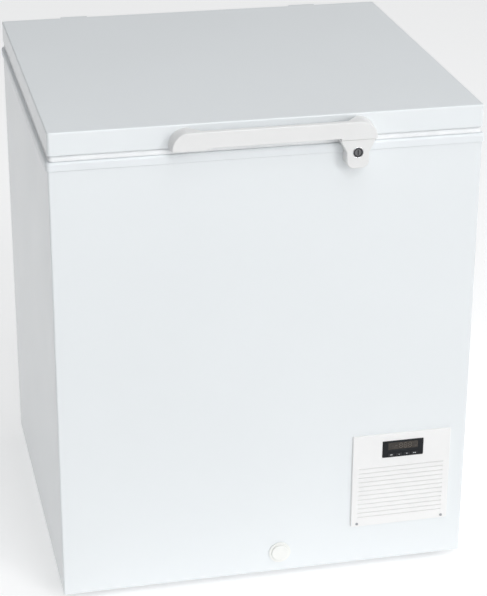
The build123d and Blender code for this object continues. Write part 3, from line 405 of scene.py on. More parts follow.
def soft_rubber(name, colour):
    """Extruded rubber: dusty bloom and a soft matt grain."""
    material, shader = new_surface(name, colour, roughness=0.62)
    tree = material.node_tree
    place = object_place(tree)
    tint(tree, shader, noise(tree, place, scale=30.0, detail=5.0), colour, dark=0.95, light=1.03)
    gloss(tree, shader, noise(tree, place, scale=60.0), low=0.55, high=0.72)
    relief(tree, shader, noise(tree, place, scale=900.0), depth=0.03 * MM, strength=0.4)
    return material


def zinc_spangle(name, colour):
    """Galvanised sheet: angular spangles with their own tone and gloss."""
    material, shader = new_surface(name, colour, roughness=0.42, metallic=0.9)
    tree = material.node_tree
    place = object_place(tree)
    tint(tree, shader, cells(tree, place, scale=85.0), colour, dark=0.82, light=1.14, low=0.1, high=0.8)
    gloss(tree, shader, cells(tree, place, scale=85.0), low=0.34, high=0.52)
    relief(tree, shader, noise(tree, place, scale=320.0), depth=0.02 * MM, strength=0.3)
    return material


def stucco_sheet(name, colour):
    """Stucco embossed aluminium: rounded dimples of about 5 mm and rolled gloss."""
    material, shader = new_surface(name, colour, roughness=0.36, metallic=0.85)
    tree = material.node_tree
    place = object_place(tree)
    tint(tree, shader, noise(tree, place, scale=5.0), colour, dark=0.94, light=1.04)
    gloss(tree, shader, noise(tree, place, scale=22.0), low=0.30, high=0.44)
    relief(tree, shader, cells(tree, place, scale=190.0, feature="SMOOTH_F1"), depth=0.5 * MM, strength=0.45)
    return material


def drawn_metal(name, colour, roughness, stretch=(1.0, 1.0, 1.0)):
    """Drawn or plated metal: fine streaks along the way that it was worked."""
    material, shader = new_surface(name, colour, roughness, metallic=1.0)
    tree = material.node_tree
    place = object_place(tree, stretch)
    streaks = noise(tree, place, scale=400.0, detail=4.0)
    tint(tree, shader, noise(tree, place, scale=40.0), colour, dark=0.88, light=1.08)
    gloss(tree, shader, streaks, low=roughness * 0.8, high=roughness * 1.25)
    relief(tree, shader, streaks, depth=0.01 * MM, strength=0.3)
    return material


def satin_paint(name, colour):
    """Satin machine paint: uneven film with a few dull patches."""
    material, shader = new_surface(name, colour, roughness=0.45)
    tree = material.node_tree
    place = object_place(tree)
    tint(tree, shader, noise(tree, place, scale=18.0, detail=6.0), colour, dark=0.8, light=1.5)
    gloss(tree, shader, noise(tree, place, scale=35.0), low=0.36, high=0.58)
    relief(tree, shader, noise(tree, place, scale=260.0), depth=0.06 * MM, strength=0.4)
    return material


def rigid_foam(name, colour):
    """Rigid foam: small open cells and yellow patches."""
    material, shader = new_surface(name, colour, roughness=0.85)
    tree = material.node_tree
    place = object_place(tree)
    tint(tree, shader, noise(tree, place, scale=25.0, detail=6.0), colour, dark=0.82, light=1.1)
    relief(tree, shader, cells(tree, place, scale=900.0), depth=0.4 * MM, strength=0.6)
    return material


def smoked_window(name, colour):
    """Polished smoked window: clear coat over a dark tint."""
    material, shader = new_surface(name, colour, roughness=0.16)
    tree = material.node_tree
    place = object_place(tree)
    tint(tree, shader, noise(tree, place, scale=160.0, detail=4.0), colour, dark=0.7, light=1.5)
    gloss(tree, shader, noise(tree, place, scale=90.0), low=0.13, high=0.22)
    shader.inputs["Coat Weight"].default_value = 0.3
    return material


def make_finishes():
    """One material for each slot of the record and each finish of the pieces made here, by name."""
    tones = finishes()
    recipes = {
        "white_paint": (powder_coat, tones.paint, {}),
        "rear_sheet": (powder_coat, scaled(tones.paint, 0.95), {}),
        "galvanised_sheet": (zinc_spangle, tones.galvanised, {}),
        "frame_plastic": (moulded_plastic, tones.frame_white, {"roughness": 0.38, "grain": 0.02 * MM}),
        "tank_aluminium": (stucco_sheet, tones.aluminium, {}),
        "coil_aluminium": (drawn_metal, tones.aluminium, {"roughness": 0.40, "stretch": (0.1, 1.0, 1.0)}),
        "foam": (rigid_foam, tones.foam, {}),
        "drain_plastic": (moulded_plastic, tones.drain, {"roughness": 0.42, "grain": 0.02 * MM}),
        "warm_plastic": (moulded_plastic, tones.warm_white, {"roughness": 0.40, "grain": 0.02 * MM}),
        "grille_plastic": (moulded_plastic, tones.grille_white, {"roughness": 0.40, "grain": 0.02 * MM}),
        "zinc_steel": (drawn_metal, tones.zinc, {"roughness": 0.34}),
        "black_plastic": (
            moulded_plastic, tones.black, {"roughness": 0.48, "grain": 0.05 * MM, "shine": 0.25}
        ),
        "key_plastic": (moulded_plastic, scaled(tones.black, 1.25), {"roughness": 0.55, "grain": 0.03 * MM}),
        "smoked_window": (smoked_window, tones.window, {}),
        "motor_steel": (satin_paint, scaled(tones.machine, 4.0), {}),
        "fan_plastic": (moulded_plastic, scaled(tones.black, 2.0), {"roughness": 0.5, "grain": 0.05 * MM}),
        "compressor_paint": (satin_paint, tones.machine, {}),
        "mount_rubber": (soft_rubber, tones.rubber, {}),
        "pipe_metal": (drawn_metal, tones.copper, {"roughness": 0.32, "stretch": (1.0, 0.1, 1.0)}),
        "liner_plastic": (moulded_plastic, tones.liner, {"roughness": 0.45, "grain": 0.04 * MM}),
        "gasket_rubber": (soft_rubber, tones.seal, {}),
        "lock_metal": (drawn_metal, tones.barrel, {"roughness": 0.36, "stretch": (1.0, 1.0, 0.2)}),
        "lock_plating": (drawn_metal, tones.plating, {"roughness": 0.42, "stretch": (1.0, 1.0, 0.2)}),
        "hinge_steel": (powder_coat, tones.hinge, {}),
        "spring_steel": (drawn_metal, tones.spring, {"roughness": 0.38}),
        "key_mark": (moulded_plastic, tones.mark, {"roughness": 0.6, "grain": 0.01 * MM}),
        "bright_metal": (drawn_metal, tones.chrome, {"roughness": 0.18}),
        "display_bar": (moulded_plastic, tones.segment, {"roughness": 0.3, "grain": 0.01 * MM}),
    }
    return {name: make(name, colour, **details) for name, (make, colour, details) in recipes.items()}


def finish(name):
    """The material made under a name."""
    return bpy.data.materials[name + FINISH]


def grid_quads(rows, columns):
    """Corner numbers of the quads between neighbours of a grid that is closed along its columns."""
    row, column = np.meshgrid(np.arange(rows - 1), np.arange(columns), indexing="ij")
    following = (column + 1) % columns
    quads = np.stack([
        row * columns + column,
        row * columns + following,
        (row + 1) * columns + following,
        (row + 1) * columns + column,
    ], axis=-1)
    return quads.reshape(-1, 4)


def put_piece(name, points, faces, body, slot_name, material=None):
    """A smooth mesh piece at the origin that rides a body and takes a finish."""
    mesh = bpy.data.meshes.new(name)
    mesh.from_pydata(points.reshape(-1, 3).tolist(), [], [list(face) for face in faces])
    build = bmesh.new()
    build.from_mesh(mesh)
    bmesh.ops.remove_doubles(build, verts=build.verts, dist=MERGE_DISTANCE)
    bmesh.ops.recalc_face_normals(build, faces=build.faces)
    build.to_mesh(mesh)
    build.free()
    mesh.shade_smooth()
    piece = bpy.data.objects.new(name, mesh)
    bpy.context.scene.collection.objects.link(piece)
    mesh.materials.append(finish(material or slot_name))
    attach(piece, body)
    return piece


def put_grid(name, grid, body, slot_name, material=None):
    """A piece from one grid of points that is closed along its columns."""
    return put_piece(name, grid, grid_quads(grid.shape[0], grid.shape[1]), body, slot_name, material)


def arc(centre, radius, start, end, steps):
    """Points of a circular arc between two angles in degrees, as two columns."""
    angle = np.radians(np.linspace(start, end, steps))
    return np.stack([centre[0] + radius * np.cos(angle), centre[1] + radius * np.sin(angle)], axis=-1)


def frame_surface(half_x, half_y, corner, profile, steps):
    """A profile of insets and heights carried round a rounded rectangle.

    Each profile point draws the rectangle smaller by its inset, with the corner radius less the inset.
    A column just outside both ends of each corner keeps the straight sides flat.
    """
    quarter = np.radians(np.concatenate([[0.0], np.linspace(0.0, 90.0, steps), [90.0]]))
    outside = np.tile(np.concatenate([[-1.0], np.zeros(steps), [1.0]]) * CORNER_SUPPORT, 4)
    angle = (np.radians(90.0) * np.arange(4)[:, None] + quarter).ravel()
    sign_x = np.repeat([1.0, -1.0, -1.0, 1.0], steps + 2)
    sign_y = np.repeat([1.0, 1.0, -1.0, -1.0], steps + 2)
    inset = profile[:, :1]
    radius = np.maximum(corner - inset, LEAST_RADIUS)
    x = sign_x * (half_x - inset - radius) + radius * np.cos(angle) - outside * np.sin(angle)
    y = sign_y * (half_y - inset - radius) + radius * np.sin(angle) + outside * np.cos(angle)
    z = np.broadcast_to(profile[:, 1:], x.shape)
    return np.stack([x, y, z], axis=-1)


def turned_surface(profile, centre, axis, steps):
    """A profile of radius and distance along an axis, turned a full circle about that axis."""
    axis = np.asarray(axis, float)
    side = np.array([0.0, 0.0, 1.0]) if abs(axis[2]) < 0.5 else np.array([1.0, 0.0, 0.0])
    other = np.cross(axis, side)
    angle = np.linspace(0.0, FULL_TURN, steps, endpoint=False)
    circle = np.cos(angle)[:, None] * side + np.sin(angle)[:, None] * other
    return np.asarray(centre) + profile[:, None, :1] * circle + profile[:, None, 1:] * axis


def pillow_surface(centre, half_x, half_z, power, height, rings, steps, corners=0):
    """A low dome over a superellipse or a regular polygon, standing out of a wall towards -Y.

    The radius at each angle is the superellipse's, or the polygon's apothem over a cosine.
    The height falls with the sixth power of the share of the radius.
    """
    angle = np.linspace(0.0, FULL_TURN, steps, endpoint=False)
    if corners:
        part = np.pi / corners
        reach = np.cos(part) / np.cos(np.mod(angle + FULL_TURN / 4.0, 2.0 * part) - part)
    else:
        reach = (np.abs(np.cos(angle)) ** power + np.abs(np.sin(angle)) ** power) ** (-1.0 / power)
    share = np.linspace(0.0, 1.0, rings)[:, None]
    x = centre[0] + half_x * share * reach * np.cos(angle)
    z = centre[2] + half_z * share * reach * np.sin(angle)
    y = centre[1] - height * (1.0 - share**6) + np.zeros_like(x)
    return np.stack([x, y, z], axis=-1)


def many(surfaces):
    """Several grids of the same shape as one set of points and quads."""
    surfaces = np.asarray(surfaces)
    count, rows, columns = surfaces.shape[:3]
    quads = grid_quads(rows, columns)
    faces = (quads[None] + (np.arange(count) * rows * columns)[:, None, None]).reshape(-1, 4)
    return surfaces.reshape(-1, 3), faces.tolist()


class FREEZER_OT_finishes(bpy.types.Operator):
    """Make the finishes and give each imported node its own"""

    bl_idname = "freezer.finishes"
    bl_label = "Finishes"

    def execute(self, context):
        """Assign each node the material of its slot, and the grille its lighter white."""
        made = make_finishes()
        for part in frame["record"]["subparts"]:
            node = frame["nodes"][part["node"]]
            own = "grille_plastic" if part["node"] == "front_grille" else part["material_slot"]
            for place in node.material_slots:
                place.material = made[own]
        return {"FINISHED"}


class FREEZER_OT_lid_cover(bpy.types.Operator):
    """Fold the lid's cover from one sheet with rounded edges"""

    bl_idname = "freezer.lid_cover"
    bl_label = "Lid cover"

    def execute(self, context):
        """Carry the folded profile round the lid and close the top with one face."""
        size = sizes()
        low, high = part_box("lid_skin")
        bottom, top = low[2], high[2]
        ease = size.lid_hem / 2.0
        profile = np.concatenate([
            [[size.lid_return, bottom], [size.lid_hem + ease, bottom]],
            arc((size.lid_hem, bottom + size.lid_hem), size.lid_hem, start=270.0, end=180.0, steps=7),
            [[0.0, bottom + size.lid_hem + ease], [0.0, top - size.lid_edge - ease]],
            arc((size.lid_edge, top - size.lid_edge), size.lid_edge, start=180.0, end=90.0, steps=9),
            [[size.lid_edge + ease, top], [size.lid_corner + size.lid_edge + ease, top]],
        ])
        points = frame_surface(high[0], high[1], size.lid_corner, profile, steps=9)
        rows, columns = points.shape[:2]
        faces = grid_quads(rows, columns).tolist()
        faces.append(list(range((rows - 1) * columns, rows * columns)))
        cover = put_piece("lid_cover", points, faces, "lid", "white_paint")
        wall = cover.modifiers.new("sheet", "SOLIDIFY")
        wall.thickness = size.sheet
        wall.offset = -1.0
        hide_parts("lid_skin")
        return {"FINISHED"}


class FREEZER_OT_seal(bpy.types.Operator):
    """Draw the bellows seal under the lid"""

    bl_idname = "freezer.seal"
    bl_label = "Lid seal"

    def execute(self, context):
        """Carry a boxy superellipse round the lid's edge, its lip swept out below and drawn in at the top.

        The lip's share falls from one to nothing along a cubic step over the upper part of the height.
        """
        size = sizes()
        low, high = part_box("lid_gasket")
        half = size.seal_width / 2.0
        angle = np.linspace(0.0, FULL_TURN, 72, endpoint=False)
        round_x = np.sign(np.cos(angle)) * np.abs(np.cos(angle)) ** SEAL_POWER
        round_z = np.sign(np.sin(angle)) * np.abs(np.sin(angle)) ** SEAL_POWER
        step = np.clip(((1.0 + round_z) / 2.0 - LIP_START) / LIP_SPAN, 0.0, 1.0)
        lip = size.seal_lip * np.maximum(round_x, 0.0) * (1.0 - step**2 * (3.0 - 2.0 * step))
        inset = half - half * round_x - lip
        foot = low[2] - SEAL_PRESS
        height = (foot + high[2]) / 2.0 + (high[2] - foot) / 2.0 * round_z
        profile = np.stack([inset, height], axis=-1)
        closed = np.concatenate([profile, profile[:1]])
        points = frame_surface(high[0], high[1], SEAL_CORNER, closed, steps=5)
        seal = put_grid("bellows_seal", points, "lid", "gasket_rubber")
        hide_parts("lid_gasket")
        return {"FINISHED"}


class FREEZER_OT_drain(bpy.types.Operator):
    """Turn the drain plug's cap and the strainer over the drain in the tank"""

    bl_idname = "freezer.drain"
    bl_label = "Drain cap and strainer"

    def execute(self, context):
        """Turn a dished cap with a rounded edge, and a ribbed dome for the strainer."""
        size = sizes()
        low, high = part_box("drain_plug")
        radius = (high[0] - low[0]) / 2.0
        middle = ((low[0] + high[0]) / 2.0, low[1] + size.cap_sink, (low[2] + high[2]) / 2.0)
        flat = radius - size.cap_round
        share = np.linspace(0.0, 1.0, 10)
        dish = np.stack([flat * share, size.cap_dish * (1.0 - share**4)], axis=-1)
        stem = size.stem_radius
        back = size.cap_depth
        total = high[1] - middle[1]
        profile = np.concatenate([
            dish,
            arc((flat, size.cap_round), size.cap_round, start=-80.0, end=0.0, steps=8),
            [[radius, back - CAP_CHAMFER], [radius - CAP_CHAMFER, back]],
            [[stem + CAP_CHAMFER, back], [stem, back + CAP_CHAMFER]],
            [[stem, total - STEM_CHAMFER], [stem - STEM_CHAMFER, total], [0.0, total]],
        ])
        points = turned_surface(profile, middle, (0.0, 1.0, 0.0), steps=64)
        cap = put_grid("drain_cap", points, "plug", "drain_plastic")
        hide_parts("drain_plug")
        self.strainer()
        return {"FINISHED"}

    def strainer(self):
        """A dome with ring ribs on the tank's floor over the drain.

        The dome falls with the fourth power of the share of the radius. The ribs are a fading cosine.
        """
        low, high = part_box("drain_outlet")
        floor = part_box("tank_liner")[0][2] + TANK_SHEET
        share = np.linspace(0.0, 1.0, 40)
        ribs = STRAINER_RIB * np.cos(share * STRAINER_RIBS * FULL_TURN) * (1.0 - share)
        rise = STRAINER_RISE * (1.0 - share**4) + ribs
        profile = np.stack([(DRAIN_TUBE + STRAINER_RIM) * share, rise + STRAINER_LIFT], axis=-1)
        centre = ((low[0] + high[0]) / 2.0, high[1] - DRAIN_TUBE, floor)
        points = turned_surface(profile, centre, (0.0, 0.0, 1.0), steps=48)
        put_grid("drain_strainer", points, "cabinet", "drain_plastic")


def screw_heads(places, outward, turn, scale):
    """Pan heads with a cross recess at the given places on a wall.

    The height over the radius is a superellipse. The cross is cut where the smaller of the two
    distances from its arms is under half an arm's width and the larger is under an arm's length.
    """
    size = sizes()
    head = size.screw_radius * scale
    places = np.asarray(places, float)
    angle = np.linspace(0.0, FULL_TURN, 48, endpoint=False)
    radius = head * np.linspace(0.0, 1.0, 22)[:, None]
    x = radius * np.cos(angle)
    z = radius * np.sin(angle)
    dome = size.screw_height * (1.0 - (radius / head) ** 4) ** HEAD_CROWN + np.zeros_like(x)
    turn = np.asarray(turn, float)[:, None, None]
    across = np.abs(x * np.cos(turn) + z * np.sin(turn))
    along = np.abs(z * np.cos(turn) - x * np.sin(turn))
    near = np.minimum(across, along)
    far = np.maximum(across, along)
    arm = CROSS_ARM * head
    reach = CROSS_REACH * head
    inside = np.clip((arm - near) / (ARM_SLOPE * arm), 0.0, 1.0)
    cross = inside * np.clip((reach - far) / (REACH_SLOPE * reach), 0.0, 1.0)
    rise = dome - size.screw_recess * cross
    points = np.stack([x + np.zeros_like(rise), outward * rise, z + np.zeros_like(rise)], axis=-1)
    return many(points + places[:, None, None, :])


def column(x, y, heights):
    """Places one above the other."""
    return [(x, y, z) for z in heights]


class FREEZER_OT_screws(bpy.types.Operator):
    """Set the cross recessed screws of the grille, the back and the hinges"""

    bl_idname = "freezer.screws"
    bl_label = "Screws"

    def execute(self, context):
        """Work out where the screws sit from the nodes that they hold."""
        self.put("grille_screws", self.grille_places(), -1.0, "cabinet", GRILLE_SCALE)
        self.put("rear_screws", self.rear_places(), 1.0, "cabinet")
        self.put("leaf_screws", self.leaf_places(), 1.0, "lid")
        return {"FINISHED"}

    def put(self, name, places, outward, body, scale=1.0):
        """One piece with all screws of a group, each turned by its own angle."""
        points, faces = screw_heads(places, outward, CROSS_TURN * np.arange(len(places)), scale)
        put_piece(name, points, faces, body, "zinc_steel")

    def grille_places(self):
        """The two lower corners of the grille."""
        low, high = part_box("front_grille")
        face = low[1] + GRILLE_SCREW_SINK
        height = low[2] + GRILLE_SCREW_RISE
        return [(x, face, height) for x in (low[0] + GRILLE_SCREW_INSET, high[0] - GRILLE_SCREW_INSET)]

    def rear_places(self):
        """The edges of the rear sheet, the corners of the vent cover and the hinge brackets."""
        low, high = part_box("rear_panel")
        heights = np.linspace(low[2] + REAR_SCREW_RISE, high[2] - REAR_SCREW_DROP, REAR_SCREW_ROWS)
        places = []
        for x in (low[0] + REAR_SCREW_INSET, high[0] - REAR_SCREW_INSET):
            places += column(x, high[1], heights)
        low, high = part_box("rear_vent_cover")
        for x in (low[0] + VENT_SCREW_INSET, high[0] - VENT_SCREW_INSET):
            places += column(x, high[1], (low[2] + VENT_SCREW_INSET, high[2] - VENT_SCREW_INSET))
        for side in ("left", "right"):
            low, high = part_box("hinge_bracket_" + side)
            middle = (low[0] + high[0]) / 2.0
            places += column(middle, CAD_BOX[1][1] - HINGE_FACE, low[2] + BRACKET_SCREW_RISES)
        return places

    def leaf_places(self):
        """The two tabs of each hinge leaf."""
        places = []
        for side in ("left", "right"):
            low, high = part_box("hinge_leaf_" + side)
            height = (high[2] + CAD_BOX[1][2] - HOOD_FOOT) / 2.0
            for x in (low[0] + LEAF_SCREW_INSET, high[0] - LEAF_SCREW_INSET):
                places.append((x, CAD_BOX[1][1] - HINGE_FACE, height))
        return places


class FREEZER_OT_springs(bpy.types.Operator):
    """Wind the springs on the hinge pins"""

    bl_idname = "freezer.springs"
    bl_label = "Hinge springs"

    def execute(self, context):
        """Carry a circle along a helix about each pin, drawn to a point at both ends."""
        size = sizes()
        low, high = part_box("hinge_springs")
        axis_y = (low[1] + high[1]) / 2.0
        axis_z = (low[2] + high[2]) / 2.0
        springs = []
        for side, sense in (("left", -1.0), ("right", 1.0)):
            bracket_low, bracket_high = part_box("hinge_bracket_" + side)
            middle = (bracket_low[0] + bracket_high[0]) / 2.0
            half = abs((high[0] if sense > 0 else low[0]) - middle) - size.wire_radius
            share = np.linspace(-1.0, 1.0, TURN_STEPS * size.spring_turns)[:, None]
            turn = FULL_TURN / 2.0 * size.spring_turns * share * sense
            ring = np.linspace(0.0, FULL_TURN, 10, endpoint=False)
            closing = np.clip((1.0 - np.abs(share)) / WIRE_TIP, 0.0, 1.0)
            reach = size.spring_radius + closing * size.wire_radius * np.cos(ring)
            x = middle + half * share + closing * size.wire_radius * np.sin(ring)
            y = axis_y + reach * np.cos(turn)
            z = axis_z + reach * np.sin(turn)
            springs.append(np.stack([x, y, z], axis=-1))
        points, faces = many(springs)
        wound = put_piece("wound_springs", points, faces, "cabinet", "spring_steel")
        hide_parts("hinge_springs")
        return {"FINISHED"}


class FREEZER_OT_display(bpy.types.Operator):
    """Lay the unlit digits on the display and the marks on the keys"""

    bl_idname = "freezer.display"
    bl_label = "Display and key marks"

    def execute(self, context):
        """Make the seven bars of each digit and the small marks as low domes."""
        self.digits()
        self.marks()
        return {"FINISHED"}

    def digits(self):
        """A minus sign and three digits of seven bars in the middle of the window."""
        size = sizes()
        low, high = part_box("display_lens")
        face = low[1]
        middle_x = (low[0] + high[0]) / 2.0
        middle_z = (low[2] + high[2]) / 2.0
        pitch = size.digit_width + DIGIT_GAP
        wide = size.digit_width / 2.0
        tall = size.digit_height / 2.0
        bar = size.digit_bar / 2.0
        level = [(0.0, step * tall, wide - bar - BAR_GAP, bar) for step in (-1.0, 0.0, 1.0)]
        upright = [
            (side * wide, step * tall / 2.0, bar, tall / 2.0 - bar - BAR_GAP)
            for side in (-1.0, 1.0) for step in (-1.0, 1.0)
        ]
        bars = [
            (place * pitch + x, z, half_x, half_z)
            for place in DIGIT_PLACES for x, z, half_x, half_z in level + upright
        ]
        bars.append((SIGN_PLACE * pitch, 0.0, wide - bar, bar))
        surfaces = []
        for x, z, half_x, half_z in bars:
            centre = (middle_x + x, face, middle_z + z)
            surfaces.append(
                pillow_surface(centre, half_x, half_z, BAR_POWER, size.mark_height, MARK_RINGS, steps=24)
            )
        points, faces = many(surfaces)
        put_piece("display_digits", points, faces, "cabinet", "smoked_window", "display_bar")

    def marks(self):
        """A dash on the first key, arrows on the next two and a double dash on the last."""
        size = sizes()
        for number, pieces in KEY_MARKS.items():
            low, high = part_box("controller_key_" + str(number))
            middle = ((low[0] + high[0]) / 2.0, low[1], (low[2] + high[2]) / 2.0)
            surfaces = []
            for x, z, half_x, half_z, corners in pieces:
                centre = (middle[0] + x * MM, middle[1], middle[2] + z * MM)
                halves = (half_x * MM, half_z * MM)
                surfaces.append(
                    pillow_surface(centre, *halves, MARK_POWER, size.mark_height, MARK_RINGS, 36, corners)
                )
            points, faces = many(surfaces)
            body = "key_" + str(number)
            put_piece("key_mark_" + str(number), points, faces, body, "key_plastic", "key_mark")


class FREEZER_OT_lock_bezel(bpy.types.Operator):
    """Fit the ring round the lock barrel and the barrel's face"""

    bl_idname = "freezer.lock_bezel"
    bl_label = "Lock bezel"

    def execute(self, context):
        """Turn half an ellipse about the barrel's axis, and lay the face on the barrel."""
        size = sizes()
        low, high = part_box("lock_barrel")
        radius = (high[0] - low[0]) / 2.0 + BEZEL_GAP
        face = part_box("lock_housing")[0][1]
        half = size.bezel_width / 2.0
        ring = arc((0.0, 0.0), 1.0, start=0.0, end=180.0, steps=14) * (half, size.bezel_proud)
        centre = ((low[0] + high[0]) / 2.0, face, (low[2] + high[2]) / 2.0)
        points = turned_surface(ring + (radius + half, 0.0), centre, (0.0, -1.0, 0.0), steps=64)
        put_grid("lock_bezel", points, "cabinet", "lock_metal", "bright_metal")
        self.face(centre[0], low[1], centre[2])
        return {"FINISHED"}

    def face(self, x, front, z):
        """Key plug as a disc on a polar grid, sunk where the upright keyway is and rounded at its edge, with
        a black piece in the keyway as painted shade.
        """
        size = sizes()
        angle = np.linspace(0.0, FULL_TURN, 72, endpoint=False)
        radius = size.plug_face * np.linspace(0.0, 1.0, 40)[:, None]
        across = radius * np.cos(angle)
        up = radius * np.sin(angle)
        edge = size.mark_height * 2.0 * (1.0 - (radius / size.plug_face) ** 8) + np.zeros_like(across)
        way = np.clip((size.keyway - np.abs(across)) / KEYWAY_SIDE, 0.0, 1.0)
        way = way * np.clip((KEYWAY_REACH * size.plug_face - np.abs(up)) / KEYWAY_END, 0.0, 1.0)
        y = front - edge + KEYWAY_DEPTH * way
        points = np.stack([x + across, y, z + up], axis=-1)
        put_grid("lock_face", points, "lock_cylinder", "lock_metal", "lock_plating")
        # A black piece in the keyway's mouth paints the shade inside the slot.
        centre = (x, front + KEYWAY_SHADE_SINK, z)
        tall = KEYWAY_SHADE_REACH * size.plug_face
        height = size.mark_height
        slot = pillow_surface(centre, size.keyway, tall, KEYWAY_SHADE_POWER, height, MARK_RINGS, steps=40)
        put_grid("keyway", slot, "lock_cylinder", "lock_metal", "black_plastic")


class FREEZER_OT_feet(bpy.types.Operator):
    """Turn the grooved feet"""

    bl_idname = "freezer.feet"
    bl_label = "Feet"

    def execute(self, context):
        """Turn a foot with a rounded tread and two grooves, and set it under each corner.

        The grooves are the positive half waves of a sine over the height, squared.
        """
        low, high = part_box("feet")
        tall = high[2] - low[2]
        rise = np.linspace(0.0, 1.0, 30)
        groove = FOOT_GROOVE * np.maximum(0.0, np.sin(rise * FOOT_GROOVES * FULL_TURN)) ** 2
        reach = FOOT_RADIUS - groove - FOOT_TAPER * (1.0 - rise)
        wall = np.stack([reach, FOOT_TREAD + (tall - FOOT_TREAD) * rise], axis=-1)
        edge = (FOOT_RADIUS - FOOT_TAPER - FOOT_TREAD, FOOT_TREAD)
        tread = arc(edge, FOOT_TREAD, start=270.0, end=355.0, steps=7)
        profile = np.concatenate([[[0.0, 0.0]], tread, wall, [[0.0, tall]]])
        surfaces = []
        for x in (low[0] + FOOT_RADIUS, high[0] - FOOT_RADIUS):
            for y in (low[1] + FOOT_RADIUS, high[1] - FOOT_RADIUS):
                surfaces.append(turned_surface(profile, (x, y, low[2]), (0.0, 0.0, 1.0), steps=48))
        points, faces = many(surfaces)
        feet = put_piece("grooved_feet", points, faces, "cabinet", "black_plastic", "mount_rubber")
        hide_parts("feet")
        return {"FINISHED"}


def area_lamp(name, place, target, width, power, colour):
    """A square soft lamp turned towards a point."""
    data = bpy.data.lights.new(name, "AREA")
    data.shape = "SQUARE"
    data.size = width
    data.energy = power
    data.color = colour
    lamp = bpy.data.objects.new(name, data)
    bpy.context.scene.collection.objects.link(lamp)
    lamp.location = place
    lamp.rotation_euler = (Vector(target) - Vector(place)).to_track_quat("-Z", "Y").to_euler()


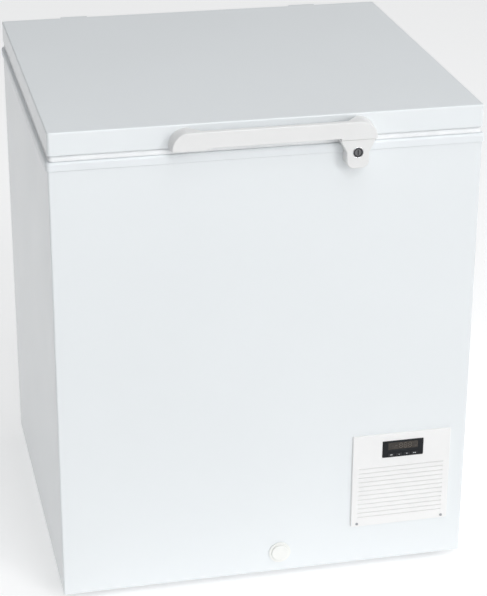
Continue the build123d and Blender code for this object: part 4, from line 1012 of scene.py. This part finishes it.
class FREEZER_OT_stage(bpy.types.Operator):
    """Set up the floor, the lamps and the camera"""

    bl_idname = "freezer.stage"
    bl_label = "Stage"

    def execute(self, context):
        """Make a pale floor, a soft room light, the lamps and the camera."""
        stage = context.scene.freezer_stage
        self.floor(stage)
        self.lamps(stage)
        self.camera(stage)
        context.scene.view_settings.view_transform = "Standard"
        return {"FINISHED"}

    def floor(self, stage):
        """One flat face under the feet with a pale finish, its glow a curve from front to back."""
        half = stage.floor_half
        material, shader = new_surface("pale_floor", scaled(WHITE, FLOOR_TONE), roughness=0.8)
        tree = material.node_tree
        place = object_place(tree)
        tint(tree, shader, noise(tree, place, scale=0.6), WHITE, FLOOR_DARK, FLOOR_LIGHT)
        self.glow(stage, tree, shader)
        mesh = bpy.data.meshes.new("floor")
        corners = [(-half, -half, 0.0), (half, -half, 0.0), (half, half, 0.0), (-half, half, 0.0)]
        mesh.from_pydata(corners, [], [(0, 1, 2, 3)])
        floor = bpy.data.objects.new("floor", mesh)
        mesh.materials.append(material)
        bpy.context.scene.collection.objects.link(floor)

    def glow(self, stage, tree, shader):
        """Let the floor glow along a curve over the distance to the back, with its middle at the object."""
        shader.inputs["Emission Color"].default_value = (*WHITE, 1.0)
        depth = tree.nodes.new("ShaderNodeVectorMath")
        depth.operation = "DOT_PRODUCT"
        depth.inputs[1].default_value = (0.0, GLOW_SCALE, 0.0)
        tree.links.new(object_place(tree), depth.inputs[0])
        part = tree.nodes.new("ShaderNodeMath")
        part.inputs[1].default_value = GLOW_MIDDLE
        tree.links.new(depth.outputs["Value"], part.inputs[0])
        curve = tree.nodes.new("ShaderNodeValToRGB")
        curve.color_ramp.interpolation = "EASE"
        stops = curve.color_ramp.elements
        first, middle, last = [GLOW_MIDDLE + GLOW_SCALE * place for place in GLOW_PLACES]
        stops[0].position = first
        stops[1].position = last
        stops.new(middle)
        for stop, strength in zip(stops, stage.floor_glow):
            stop.color = (*scaled(WHITE, strength), 1.0)
        tree.links.new(part.outputs["Value"], curve.inputs["Fac"])
        tree.links.new(curve.outputs["Color"], shader.inputs["Emission Strength"])

    def lamps(self, stage):
        """A soft world that is brighter at the right, and the lamps.

        The world's strength is its middle value plus the scalar product of the direction and a slope.
        """
        world = bpy.data.worlds.new("room")
        bpy.context.scene.world = world
        world.use_nodes = True
        background = world.node_tree.nodes["Background"]
        background.inputs["Color"].default_value = ROOM_COLOUR
        links = world.node_tree.links
        direction = world.node_tree.nodes.new("ShaderNodeTexCoord")
        slope = world.node_tree.nodes.new("ShaderNodeVectorMath")
        slope.operation = "DOT_PRODUCT"
        slope.inputs[1].default_value = (stage.world[1], 0.0, 0.0)
        total = world.node_tree.nodes.new("ShaderNodeMath")
        total.inputs[1].default_value = stage.world[0]
        links.new(direction.outputs["Generated"], slope.inputs[0])
        links.new(slope.outputs["Value"], total.inputs[0])
        links.new(total.outputs["Value"], background.inputs["Strength"])
        for name, place, target, width, colour in LAMPS:
            area_lamp(name + "_lamp", place, target, width, getattr(stage, name), colour)

    def camera(self, stage):
        """A camera from its place, its right and its lower direction."""
        right = Vector(stage.camera_right).normalized()
        up = -Vector(stage.camera_down).normalized()
        back = right.cross(up).normalized()
        data = bpy.data.cameras.new("camera")
        data.lens = stage.lens
        data.sensor_width = SENSOR_WIDTH
        data.shift_x = stage.shift[0]
        data.shift_y = stage.shift[1]
        data.clip_end = VIEW_END
        camera = bpy.data.objects.new("camera", data)
        bpy.context.scene.collection.objects.link(camera)
        turn = Matrix((right, up, back)).transposed().to_4x4()
        camera.matrix_world = Matrix.Translation(Vector(stage.camera_place)) @ turn
        bpy.context.scene.camera = camera


STEPS = (
    FREEZER_OT_finishes,
    FREEZER_OT_lid_cover,
    FREEZER_OT_seal,
    FREEZER_OT_drain,
    FREEZER_OT_screws,
    FREEZER_OT_springs,
    FREEZER_OT_display,
    FREEZER_OT_lock_bezel,
    FREEZER_OT_feet,
    FREEZER_OT_stage,
)


class FREEZER_PT_panel(bpy.types.Panel):
    """Steps that dress the freezer"""

    bl_idname = "FREEZER_PT_panel"
    bl_label = "Chest Freezer"
    bl_space_type = "VIEW_3D"
    bl_region_type = "UI"
    bl_category = "Freezer"

    def draw(self, context):
        """List the steps, the colours, the sizes and the settings of the stage."""
        for step in STEPS:
            self.layout.operator(step.bl_idname)
        scene = context.scene
        for group in (scene.freezer_finishes, scene.freezer_sizes, scene.freezer_stage):
            box = self.layout.box()
            for name in group.__annotations__:
                box.prop(group, name)


CLASSES = (FreezerFinishes, FreezerSizes, FreezerStage, *STEPS, FREEZER_PT_panel)


def register():
    """Add the classes and the scene's settings."""
    for item in CLASSES:
        bpy.utils.register_class(item)
    bpy.types.Scene.freezer_finishes = PointerProperty(type=FreezerFinishes)
    bpy.types.Scene.freezer_sizes = PointerProperty(type=FreezerSizes)
    bpy.types.Scene.freezer_stage = PointerProperty(type=FreezerStage)


def unregister():
    """Take the classes and the settings out again."""
    del bpy.types.Scene.freezer_stage
    del bpy.types.Scene.freezer_sizes
    del bpy.types.Scene.freezer_finishes
    for item in reversed(CLASSES):
        bpy.utils.unregister_class(item)


def main():
    """Run all steps in order."""
    register()
    bpy.ops.freezer.finishes()
    bpy.ops.freezer.lid_cover()
    bpy.ops.freezer.seal()
    bpy.ops.freezer.drain()
    bpy.ops.freezer.screws()
    bpy.ops.freezer.springs()
    bpy.ops.freezer.display()
    bpy.ops.freezer.lock_bezel()
    bpy.ops.freezer.feet()
    bpy.ops.freezer.stage()


if __name__ == "__main__":
    main()
